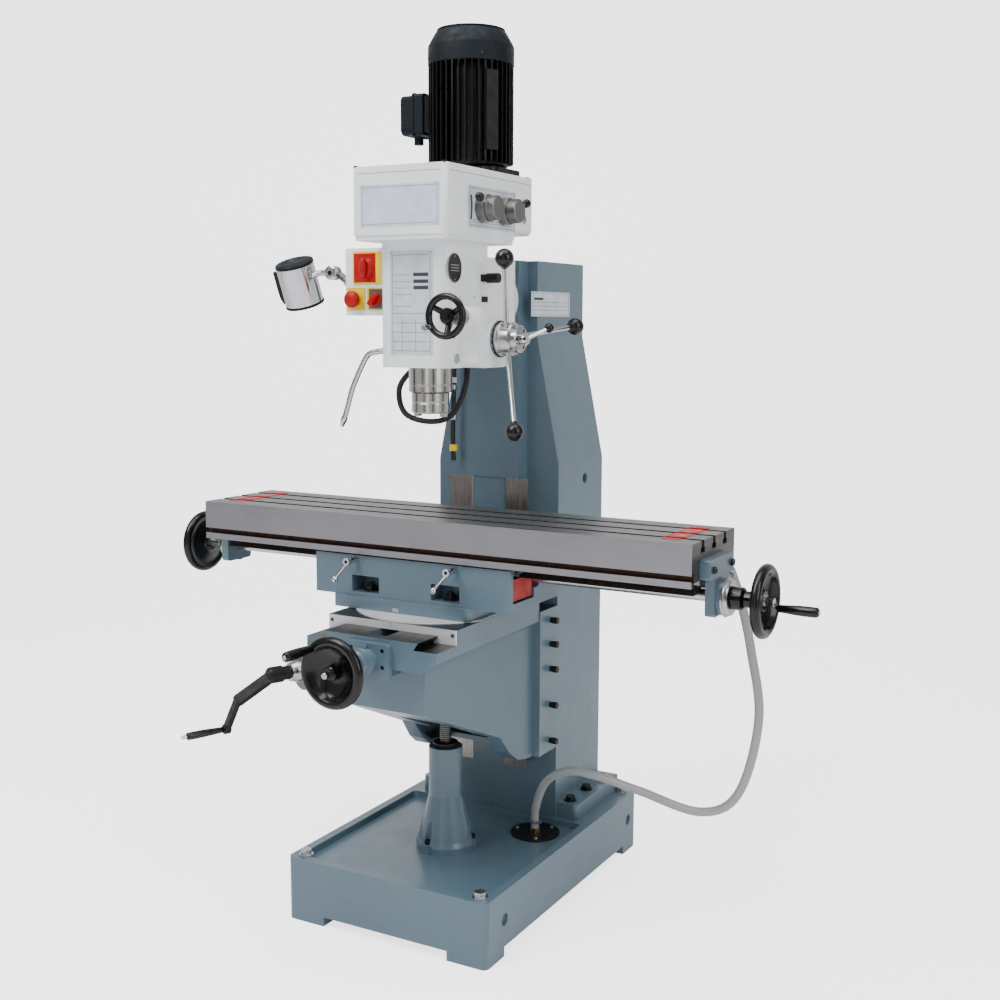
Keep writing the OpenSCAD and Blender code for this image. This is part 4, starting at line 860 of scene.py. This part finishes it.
# ---------- motor ----------
def motor_cover():
    """Pressed fan cover with an air grille of slots in rings."""
    box = Box("fan_cover")
    foot = Vector((box.mid.x, box.mid.y, box.lo.z))
    radius = (box.hi.x - box.lo.x) / 2
    tall = box.hi.z - box.lo.z
    cover = Build()
    slope = [(0, radius - 4), (0, radius - 1), (1, radius), (38, radius), (42, radius - 0.6), (66, radius - 14),
             (72, radius - 18), (tall - 3, radius - 24), (tall - 1, radius - 28), (tall - 1, 78)]
    inner = [(tall - 4, 78), (tall - 6, radius - 28), (70, radius - 20), (64, radius - 17), (41, radius - 4),
             (0, radius - 4)]
    cover.lathe(foot, Z, slope + inner, 0, 96)
    for r in range(16, 78, 7):
        rim = [(tall - 3 + 1.4 * math.sin(2 * math.pi * k / 8), r + 1.6 * math.cos(2 * math.pi * k / 8))
               for k in range(9)]
        cover.lathe(foot, Z, rim, 0, 72)
    for i in range(12):
        a = 2 * math.pi * i / 12
        out = X * math.cos(a) + Y * math.sin(a)
        cover.slab(foot + Z * (tall - 4) + out * 45, out, Z.cross(out), Z, (68, 4, 2.4), 0)
    cover.lathe(foot, Z, [(tall - 6, 0), (tall - 6, 14), (tall - 1, 14), (tall - 0.5, 13), (tall - 0.5, 0)], 0, 40)
    for i in range(4):
        a = math.radians(45 + 90 * i)
        out = X * math.cos(a) + Y * math.sin(a)
        cover.lathe(foot + Z * 12 + out * (radius - 1), out, [(0, 0), (0, 5), (2, 4.4), (3, 3), (3, 0)], 1, 16)
    cover.make("fan_cover_pressed", "head", [M_COVER, M_OXIDE], ["fan_cover"])


# ---------- hoses ----------
def drain_hose():
    """Braided hose in four lengths from the base up to the table.

    The cuts come from a coarse search for the least flattening at the joints' limits. It is still drawn
    flat there, most where the table slides and swivels.
    """
    nipple = Box("strainer_cover")
    table = Box("table_top")
    end_bracket = Box("right_bracket")
    start = Vector((nipple.mid.x, nipple.mid.y, nipple.hi.z - 8))
    floor_side = Box("base_casting").hi.x
    finish = Vector((end_bracket.lo.x + 18, table.hi.y + 9, table.lo.z + 15))
    path = curve([
        start, start + Vector((2, -1, 52)), start + Vector((38, -17, 128)),
        Vector((floor_side - 3, -6, 325)), Vector((floor_side + 80, -20, 331)), Vector((floor_side + 187, -20, 315)),
        Vector((floor_side + 333, -20, 293)), Vector((finish.x + 24, -22, 352)), Vector((finish.x + 66, -25, 526)),
        Vector((finish.x + 44, -25, 679)), Vector((finish.x + 19, -28, 786)), finish], 14)
    last = len(path) - 1
    cuts = [round(share * last) for share in (0, 0.44, 0.54, 0.76, 1)]
    for i in range(4):
        part = path[cuts[i]:cuts[i + 1] + 1]
        made = Build()
        made.tube(part, 10, 0, 24)
        obj = made.make("drain_hose_%d" % (i + 1), None, [M_HOSE], ())
        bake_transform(obj)
        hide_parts("drain_hose")
    clamp = Build()
    clamp.lathe(start + Z * 12, Z, [(0, 10), (0, 12), (8, 12), (8, 10), (0, 10)], 0, 32)
    clamp.slab(start + Vector((14, 0, 16)), X, Y, Z, (8, 7, 7), 0)
    clamp.make("hose_clamp", "frame", [M_ZINC], bevel=0.4)
    spigot = Build()
    spigot.lathe(finish - Z * 6, Z, [(0, 10), (0, 11.5), (8, 11.5), (8, 9), (0, 9), (0, 10)], 0, 32)
    spigot.tube(curve([finish - Z * 8, finish + Z * 4, finish + Vector((-4, -8, 16)),
                       finish + Vector((-6, -22, 20))], 5), 8.5, 0, 20)
    spigot.make("drain_spigot", "table", [M_ZINC])


def coolant_line():
    """Coolant hose down the column with its couplings and a yellow band, and the cable loop at the quill."""
    box = Box("supply_hose")
    x, y = box.mid.x - 3, box.lo.y + 9.5
    top, low = box.hi.z, box.lo.z
    line = Build()
    line.tube(curve([Vector((x + 4, y - 1, top + 26)), Vector((x + 4, y - 1, top - 34)),
                     Vector((x + 2, y, top - 110)), Vector((x, y, top - 190)), Vector((x + 2, y, low + 1))], 10),
              6, 0, 20)
    for z, h, r, mat in ((top - 60, 14, 9.5, 1), (top - 76, 12, 8, 1), (top - 150, 16, 9, 1), (low + 24, 16, 9.5, 2)):
        at = Vector((x + 2, y, z))
        line.lathe(at, Z, [(0, 6), (0, r - 1), (1, r), (h - 1, r), (h, r - 1), (h, 6), (0, 6)], mat,
                   6 if mat == 1 and h == 14 else 32)
    line.make("coolant_line", "frame", [M_RUBBER, M_ZINC, M_YELLOW], ["supply_hose"])

    quill = Box("quill")
    head = Box("head_casting")
    left = quill.lo.x
    loop = Build()
    loop.tube(curve([Vector((left + 8, quill.hi.y - 4, head.lo.z + 8)), Vector((left - 26, quill.mid.y + 40, 1268)),
                     Vector((left - 58, quill.mid.y + 34, 1224)), Vector((left - 44, quill.mid.y + 36, 1168)),
                     Vector((left + 14, quill.mid.y + 50, 1150)), Vector((left + 62, quill.hi.y + 20, 1166)),
                     Vector((left + 84, quill.hi.y + 44, 1230)),
                     Vector((left + 88, quill.hi.y + 48, head.lo.z + 30))], 10), 6.5, 0, 20)
    loop.make("cable_loop", "head", [M_RUBBER])


def coolant_nozzle():
    """Segmented goose-neck with a tapered tip."""
    at = pivot("nozzle_swing")
    head = Box("head_casting")
    box = Box("coolant_nozzle")
    root = Vector((head.lo.x, at.y, at.z))
    tip = Vector((box.lo.x + 7, box.lo.y + 8, box.lo.z + 6))
    path = curve([root + X * 12, root - X * 12, root + Vector((-32, -1, -2)), root + Vector((-57, -3, -10)),
                  root + Vector((-77, -5, -42)), root + Vector((-98, -7, -86)), root + Vector((-112, -9, -132)), tip],
                 12)
    neck = Build()
    neck.tube(path[:-6], 6.2, 0, 20)
    for i in range(16, len(path) - 10, 3):
        ahead = path[i + 1] - path[i]
        neck.lathe(path[i], ahead, [(0, 6), (0.4, 6.9), (1.8, 6.9), (2.2, 6), (0, 6)], 0, 20)
    ahead = (path[-1] - path[-8]).normalized()
    neck.lathe(path[-7], ahead, [(-3, 6), (-3, 7.6), (6, 7.6), (8, 6.6), (20, 4.2), (20, 2.4), (4, 2.4), (-3, 6)],
               0, 28)
    neck.lathe(root, -X, [(-0.5, 7), (-0.5, 11), (5, 11), (6, 9), (12, 8.4), (12, 6)], 0, 6)
    neck.make("coolant_gooseneck", "nozzle", [M_CHROME], ["coolant_nozzle"])


# ---------- lamp ----------
def lamp():
    """Chromed lamp can on its knuckle, with the black cast handle and a rim."""
    head = Box("lamp_head")
    knuckle = pivot("lamp_tilt")
    turn = Matrix.Rotation(math.radians(-2), 3, "Y") @ Matrix.Rotation(math.radians(21), 3, "X")
    down = turn @ -Z
    side = turn @ -X
    centre = Vector((head.lo.x + 69.3, knuckle.y - 10, knuckle.z - 22))
    can = Build()
    can.lathe(centre, down, [(-44, 0), (-44, 42), (-43, 44.5), (50, 44.5), (52, 43), (52, 41.5), (-30, 41), (-34, 0)],
              0, 96)
    can.lathe(centre, down, [(-52, 0), (-52, 42), (-51, 44), (-49, 45.4), (-44.2, 45.4), (-44.2, 0)], 1, 96)
    can.lathe(centre, down, [(47, 42), (47, 45.6), (48, 46), (52, 46), (53, 45), (53, 42), (47, 42)], 1, 96)
    can.lathe(centre, down, [(44, 0), (44, 41), (46, 41), (48, 34), (49, 0)], 2, 64)
    across_handle = down.cross(side)
    can.slab(centre + side * 50 + down * 6, side, across_handle, down, (14, 15, 74), 3)
    can.slab(centre + side * 58 + down * 6, side, across_handle, down, (12, 14, 26), 3)
    can.tube(curve([centre + side * 63 + down * s for s in (-30, -8, 12)]
                   + [centre + side * 62 + down * 34, centre + side * 56 + down * 48], 6), 5, 3, 16)
    can.lathe(Vector((knuckle.x, knuckle.y - 14, knuckle.z)), Y,
              [(0, 0), (0, 5), (1.4, 5.6), (1.4, 13), (3, 16), (13, 16), (14.9, 15), (14.9, 0)], 0, 48,
              mats=[1, 1, 0, 0, 0, 0, 0])
    can.tube(curve([Vector((knuckle.x - 8, knuckle.y - 7, knuckle.z)),
                    Vector((knuckle.x - 32, knuckle.y - 8, knuckle.z)), centre - side * 40 - down * 14], 6),
             6.6, 0, 20)
    can.make("lamp_can", "lamp_head", [M_CHROME, M_COVER, M_LENS, M_OXIDE], ["lamp_head"], bevel=0.0)
    arm_box = Box("lamp_arm")
    pivot_at = pivot("lamp_arm_turn")
    base = Vector((arm_box.hi.x, pivot_at.y, pivot_at.z))
    arm = Build()
    arm.lathe(base, -X, [(0, 0), (0, 11), (1, 12), (13, 12), (15, 10), (15, 0)], 0, 40)
    arm.tube(curve([base - X * 8, base + Vector((-20, 4, 4)), base + Vector((-36, 9, 12)),
                    Vector((knuckle.x + 4, knuckle.y + 9, knuckle.z))], 8), lambda t: 9 - t, 0, 24)
    arm.lathe(Vector((knuckle.x, knuckle.y + 1, knuckle.z)), Y,
              [(0, 0), (0, 15), (1, 16), (12, 16), (14, 14), (14, 0)], 0, 48)
    arm.make("lamp_arm_cast", "lamp_arm", [M_KNURL], ["lamp_arm"])


# ---------- plates and switches ----------
def ruled_plate(name, body, origin, u, v, size, lines, bars, ink, screws=True):
    """Ruled lines and solid bars on a plate: no lettering. Places are shares of the plate's size."""
    w = u.cross(v)
    plate = Build()
    for x0, y0, x1, y1 in lines:
        a = origin + u * (x0 * size[0]) + v * (y0 * size[1])
        b = origin + u * (x1 * size[0]) + v * (y1 * size[1])
        along = (b - a)
        direction = along.normalized()
        plate.slab((a + b) / 2, direction, w.cross(direction), w, (along.length + 0.7, 0.7, 0.5), 0)
    for x0, y0, x1, y1 in bars:
        middle = origin + u * ((x0 + x1) / 2 * size[0]) + v * ((y0 + y1) / 2 * size[1])
        plate.slab(middle, u, v, w, (abs(x1 - x0) * size[0], abs(y1 - y0) * size[1], 0.5), 0)
    if screws:
        for x in (0.035, 0.965):
            for y in (0.02, 0.98):
                rivet = origin + u * (x * size[0]) + v * (y * size[1])
                plate.lathe(rivet, w, [(-0.2, 0), (-0.2, 2.2), (0.4, 2), (0.9, 1), (1, 0)], 1, 16)
    plate.make(name, body, [ink, M_ZINC])


def frame_lines(x0, y0, x1, y1):
    return [(x0, y0, x1, y0), (x1, y0, x1, y1), (x1, y1, x0, y1), (x0, y1, x0, y0)]


def plates():
    """Generic ruled tables on the head, gearbox and column plates."""
    plate = Box("head_plates")
    front = plate.lo.y
    head = Box("head_casting")
    low = Vector((-55, head.lo.y - 0.85, 1305))
    lines = frame_lines(0.06, 0.04, 0.94, 0.96)
    lines += frame_lines(0.06, 0.04, 0.94, 0.40)
    lines += [(0.06, y, 0.94, y) for y in (0.13, 0.22, 0.31)]
    lines += [(x, 0.04, x, 0.36) for x in (0.28, 0.60)]
    lines += [(0.10, y, 0.5, y) for y in (0.47, 0.58, 0.645, 0.705, 0.77)]
    bars = [(0.55, y, 0.9, y + 0.035) for y in (0.63, 0.69, 0.755)]
    ruled_plate("head_table_lines", "head", low, X, Z, (110, 225), lines, bars, M_INK)
    gear = Vector((-98, front - 0.05, 1579))
    ruled_plate("front_plate_frame", "head", gear, X, Z, (202, 88), frame_lines(0.03, 0.06, 0.97, 0.94), [], M_GREY)
    side = Vector((plate.hi.x + 0.05, -231, 1579))
    ruled_plate("side_plate_frame", "head", side, Y, Z, (211, 89),
                frame_lines(0.03, 0.06, 0.97, 0.94) + [(0.08, 0.14, 0.92, 0.14), (0.08, 0.2, 0.7, 0.2)], [], M_INK)
    slots = Build()
    for y in (-222, -130):
        path = [Vector((plate.hi.x + 0.3, y + 4 * math.cos(math.radians(a)), 1622 + 26 * math.sin(math.radians(a))))
                for a in range(-80, 81, 16)]
        slots.tube(path, 2.2, 0, 10)
    slots.make("selector_arcs", "head", [M_INK])
    column = Box("column_plate")
    corner = Vector((column.hi.x + 0.05, column.lo.y, column.lo.z))
    lines = frame_lines(0.03, 0.06, 0.97, 0.94) + [(0.03, y, 0.97, y) for y in (0.25, 0.42, 0.58)]
    lines += [(0.6, 0.42, 0.6, 0.94)]
    ruled_plate("column_plate_lines", "frame", corner, Y, Z,
                (column.hi.y - column.lo.y, column.hi.z - column.lo.z), lines, [(0.06, 0.66, 0.3, 0.76)], M_INK)


def badge():
    """Blank oval badge with a raised rim, two rivets and a plain ruled field."""
    centre = Vector((88.6, -235, 1493))
    rim = Build()
    path = [centre + Y * 28 * math.cos(a) + Z * 31 * math.sin(a)
            for a in (2 * math.pi * i / 48 for i in range(49))]
    rim.tube(path, 1.1, 0, 8)
    for z in (-6, 0, 6):
        rim.slab(centre + Z * z + X * 1, Y, Z, X, (34, 1.6, 0.8), 0)
    for z in (-25, 25):
        rim.lathe(centre + Z * z, X, [(0, 0), (0, 2), (1.4, 1.4), (1.6, 0)], 0, 14)
    rim.make("badge_rim", "head", [M_ZINC])


def switches():
    """Red rotary isolator, mushroom stop and direction switch on their coloured plates."""
    power = pivot("power_switch")
    turn = pivot("direction_select")
    face = Box("switch_box").lo.y
    plate = Build()
    plate.slab(Vector((power.x - 5, face - 0.6, power.z)), X, Z, -Y, (58, 64, 2.4), 0)
    plate.slab(Vector((turn.x - 2, face - 0.5, turn.z + 1)), X, Z, -Y, (36, 44, 2.0), 1)
    plate.make("switch_plates", "head", [M_RED, M_GREY], bevel=0.5)
    dial = Build()
    centre = Vector((power.x, face, power.z))
    dial.lathe(centre, -Y, [(0.6, 0), (0.6, 22), (2.4, 22), (4, 20), (8, 18.5), (10, 16), (10, 0)], 0, 56)
    grip_path = [centre - Y * 14 + Z * z for z in (-20, -14, 0, 14, 20)]
    dial.tube(curve(grip_path, 5), lambda t: 4.5 + 3.4 * math.sin(math.pi * t), 0, 20)
    dial.slab(centre - Y * 11, X, Z, -Y, (9, 38, 8), 0)
    dial.make("power_knob_moulded", "power_knob", [M_RED], ["power_knob"], bevel=1.2)
    button = Box("stop_button")
    centre = Vector((button.mid.x, face, button.mid.z))
    mushroom = Build()
    travel = JOINT["stop_press"]["range_m"][1] / MM
    mushroom.lathe(centre, -Y, [(-16, 0), (-16, 5.6), (travel + 0.6, 5.6), (travel + 0.6, 14), (7, 14), (8, 16.5),
                                (12, 19), (18, 19), (22, 17), (25, 13), (26.4, 7), (26.8, 0)], 0, 56)
    mushroom.make("stop_button_moulded", "stop_button", [M_RED], ["stop_button"])
    ring = Build()
    ring.lathe(centre, -Y, [(0.2, 15), (0.2, 21.5), (1.4, 21.5), (1.8, 20.5), (1.8, 15), (0.2, 15)], 0, 48)
    ring.make("stop_ring", "head", [M_YELLOW])
    centre = Vector((turn.x, face, turn.z))
    selector = Build()
    selector.lathe(centre, -Y, [(1.2, 0), (1.2, 15), (7, 15), (9, 13), (9, 0)], 0, 48)
    lean = math.radians(-35)
    long_way = Z * math.cos(lean) + X * math.sin(lean) * -1
    selector.slab(centre - Y * 15, long_way, long_way.cross(-Y), -Y, (31, 11, 14), 0)
    selector.make("direction_knob_moulded", "direction_knob", [M_RED], ["direction_knob"], bevel=1.6)


# ---------- small fittings ----------
def fittings():
    """Sight glass, oilers, screw heads, the depth stop knob and the scale's graduations."""
    small = Build()
    small.lathe(Vector((88, -226, 1297)), X,
                [(-1, 0), (-1, 11), (1.4, 11), (2, 10), (2, 8.5), (1.2, 8), (1.2, 0)], 0, 40)
    for y, z in ((-209, 1433), (-148, 1432), (-235, 1343)):
        small.lathe(Vector((81, y, z)), X, [(0, 0), (0, 3.8), (3, 3.8), (3, 0)], 1, 6)
    small.lathe(Vector((98, -128, 1474)), X, [(0, 0), (0, 8), (10, 8), (12, 11), (40, 11), (42, 10), (42, 0)], 1, 40)
    small.slab(Vector((103, -112, 1474)), X, Y, Z, (12, 54, 16), 1)
    small.slab(Vector((88.2, -103, 1428)), Y, Z, X, (27, 12, 1.6), 1)
    small.make("head_fittings", "head", [M_ZINC, M_OXIDE], bevel=0.4)

    gearbox = Box("gearbox_casting")
    seam = Build()
    inset, seam_z = 13, gearbox.hi.z - 15
    long, wide = gearbox.hi.y - gearbox.lo.y, gearbox.hi.x - gearbox.lo.x
    for x in (gearbox.lo.x, gearbox.hi.x):
        seam.slab(Vector((x, gearbox.mid.y + inset / 2, seam_z)), Y, Z, X, (long - inset, 0.9, 0.5), 0)
    seam.slab(Vector((0, gearbox.lo.y, seam_z)), X, Z, Y, (wide - 2 * inset, 0.9, 0.5), 0)
    seam.slab(Vector((0, gearbox.hi.y, seam_z)), X, Z, Y, (wide, 0.9, 0.5), 0)
    seam.make("gearbox_lid_seam", "head", [M_GREY])
    plug = Build()
    plug.lathe(Vector((gearbox.hi.x, 20, 1612)), X, [(-1, 0), (-1, 11), (2, 11), (3, 10), (3, 6.4), (1, 6), (1, 0)],
               0, 40)
    for y in (-315, 52):
        for x in (-112, 112):
            plug.lathe(Vector((x, y, gearbox.hi.z)), Z, [(-1, 0), (-1, 5), (2.6, 5), (3, 4.4), (3, 0)], 1, 24)
    plug.make("gearbox_fittings", "head", [M_ZINC, M_OXIDE])

    bracket = Box("cross_screw_bracket")
    caps = Build()
    for x in (-40, 40):
        for z in (650, 686):
            at = Vector((x, bracket.lo.y + 26, z))
            caps.lathe(at, -Y, [(0, 0), (0, 4.8), (5, 4.8), (5.6, 4.2), (5.6, 2.6), (3, 2.4), (3, 0)], 0, 24)
    caps.make("bracket_screws", "knee", [M_OXIDE])

    slide = Box("cross_slide")
    swivel = pivot("table_swivel")
    scale = Build()
    for i in range(-20, 21):
        a = math.radians(-90 + i)
        out = Vector((math.cos(a), math.sin(a), 0))
        long_line = 9 if i % 5 == 0 else 5
        outer = 186
        middle = Vector((swivel.x, swivel.y, slide.hi.z - 0.17)) + out * (outer - long_line / 2)
        if middle.y - 6 > slide.lo.y:
            scale.slab(middle, out, Z.cross(out), Z, (long_line, 0.6, 0.4), 0)
    scale.slab(Vector((slide.mid.x, slide.lo.y - 0.05, slide.hi.z - 8)), X, Z, -Y, (0.9, 10, 0.4), 0)
    for x in (-158, 158):
        scale.lathe(Vector((slide.mid.x + x, slide.lo.y, slide.hi.z - 14)), -Y,
                    [(-1, 0), (-1, 4.4), (0.8, 4.4), (1, 4), (1, 0)], 0, 20)
    scale.make("slide_graduations", "cross_slide", [M_INK])
    index = Build()
    saddle = Box("swivel_saddle")
    index.slab(Vector((swivel.x - 34, saddle.lo.y - 0.3, 735)), X, Z, -Y, (16, 9, 1.2), 0)
    index.slab(Vector((swivel.x - 34, saddle.lo.y - 1.0, 733)), X, Z, -Y, (0.8, 5, 0.5), 1)
    index.lathe(Vector((saddle.hi.x, saddle.lo.y + 29, 842)), X,
                [(-4, 0), (-4, 6), (6, 6), (7, 5), (7, 3), (4, 0)], 1, 24)
    index.make("swivel_index", "saddle", [M_ZINC, M_INK])


# ---------- stage ----------
def finish_stage():
    """Pale floor that sweeps up behind the machine."""
    rows = [(-6.0, 0.0), (3.0, 0.0)]
    rows += [(3.0 + 2.0 * math.sin(math.radians(a)), 2.0 - 2.0 * math.cos(math.radians(a))) for a in range(9, 91, 9)]
    rows += [(5.0, 7.0)]
    yaw = Matrix.Rotation(math.radians(29), 3, "Z")
    verts = []
    for depth, height in rows:
        for side in (-9.0, 9.0):
            verts.append(yaw @ Vector((side, depth, height - 0.0005)))
    faces = [(2 * i, 2 * i + 1, 2 * i + 3, 2 * i + 2) for i in range(len(rows) - 1)]
    mesh = bpy.data.meshes.new("backdrop")
    mesh.from_pydata([tuple(v) for v in verts], [], faces)
    for face in mesh.polygons:
        face.use_smooth = True
    floor = Shader("backdrop_paper", (0.94, 0.94, 0.94, 1), 0.85)
    floor.tint(floor.noise(2, 3), 0.99, 1.0)
    floor.bsdf.inputs["Emission Color"].default_value = (1, 1, 1, 1)
    seen = floor.span(floor.node("LightPath").outputs["Is Camera Ray"], 0.15, 2.2, 0, 1)
    floor.link(seen, floor.bsdf.inputs["Emission Strength"])
    mesh.materials.append(floor.mat)
    obj = bpy.data.objects.new("backdrop", mesh)
    bpy.context.collection.objects.link(obj)


def dark_cards():
    """Narrow upright cards that only reflections see, so that bright metal shows dark streaks."""
    card = Shader("dark_card", (0.02, 0.02, 0.022, 1), 0.9)
    card.tint(card.noise(2, 2), 0.9, 1.1)
    for number, (x, y) in enumerate(((-2.8, -1.6), (2.6, -2.5), (-0.7, -4.6), (3.4, 1.2))):
        half = Vector((-y, x, 0)).normalized() * 0.4
        low, tall = Vector((x, y, 0.2)), Z * 3.4
        mesh = bpy.data.meshes.new("dark_card_%d" % (number + 1))
        mesh.from_pydata([tuple(v) for v in (low - half, low + half, low + half + tall, low - half + tall)], [],
                         [(0, 1, 2, 3)])
        mesh.materials.append(card.mat)
        obj = bpy.data.objects.new(mesh.name, mesh)
        obj.visible_camera = obj.visible_diffuse = obj.visible_shadow = False
        bpy.context.collection.objects.link(obj)


def area_light(name, place, target, size, power, color=(1, 1, 1)):
    light = bpy.data.lights.new(name, "AREA")
    light.shape = "RECTANGLE"
    light.size, light.size_y = size
    light.energy = power
    light.color = color
    obj = bpy.data.objects.new(name, light)
    obj.location = place
    obj.rotation_euler = (Vector(target) - Vector(place)).to_track_quat("-Z", "Y").to_euler()
    bpy.context.collection.objects.link(obj)


def light_and_camera():
    world = bpy.data.worlds.new("studio")
    bpy.context.scene.world = world
    world.use_nodes = True
    tree = world.node_tree
    light = tree.nodes["Background"]
    light.inputs["Color"].default_value = (1, 1, 1, 1)
    seen = tree.nodes.new("ShaderNodeMapRange")
    seen.inputs["To Min"].default_value = 0.5
    seen.inputs["To Max"].default_value = 2.9
    tree.links.new(tree.nodes.new("ShaderNodeLightPath").outputs["Is Camera Ray"], seen.inputs["Value"])
    tree.links.new(seen.outputs["Result"], light.inputs["Strength"])
    middle = (0, -0.1, 1.0)
    area_light("key", (-1.2, -2.8, 4.4), middle, (2.2, 2.6), 150)
    area_light("right_fill", (4.0, -1.2, 2.6), middle, (1.6, 3.0), 60)
    area_light("top", (0.2, -0.6, 4.2), middle, (3.0, 2.4), 80)
    area_light("front_strip", (1.0, -4.4, 1.6), middle, (0.6, 3.2), 9)

    camera = bpy.data.cameras.new("camera")
    camera.sensor_width = 36.0
    camera.lens = 47.23
    obj = bpy.data.objects.new("camera", camera)
    yaw, pitch, roll = (math.radians(a) for a in (29.1, -7.7, 0.2))
    turn = (Matrix.Rotation(yaw, 3, "Z") @ Matrix.Rotation(math.pi / 2 + pitch, 3, "X")
            @ Matrix.Rotation(roll, 3, "Z"))
    obj.matrix_world = Matrix.Translation((1.574, -2.6985, 1.376)) @ turn.to_4x4()
    bpy.context.collection.objects.link(obj)
    bpy.context.scene.camera = obj


dress_castings()
dress_slides()
dress_small_parts()

for build_piece in (handwheels, grips, elevating_screw, dials, crank, spindle_nose, quill_feed, fine_feed_wheel,
                    speed_levers, motor_cover, drain_hose, coolant_line, coolant_nozzle, lamp, plates, badge,
                    switches, fittings):
    build_piece()

finish_stage()
dark_cards()
light_and_camera()
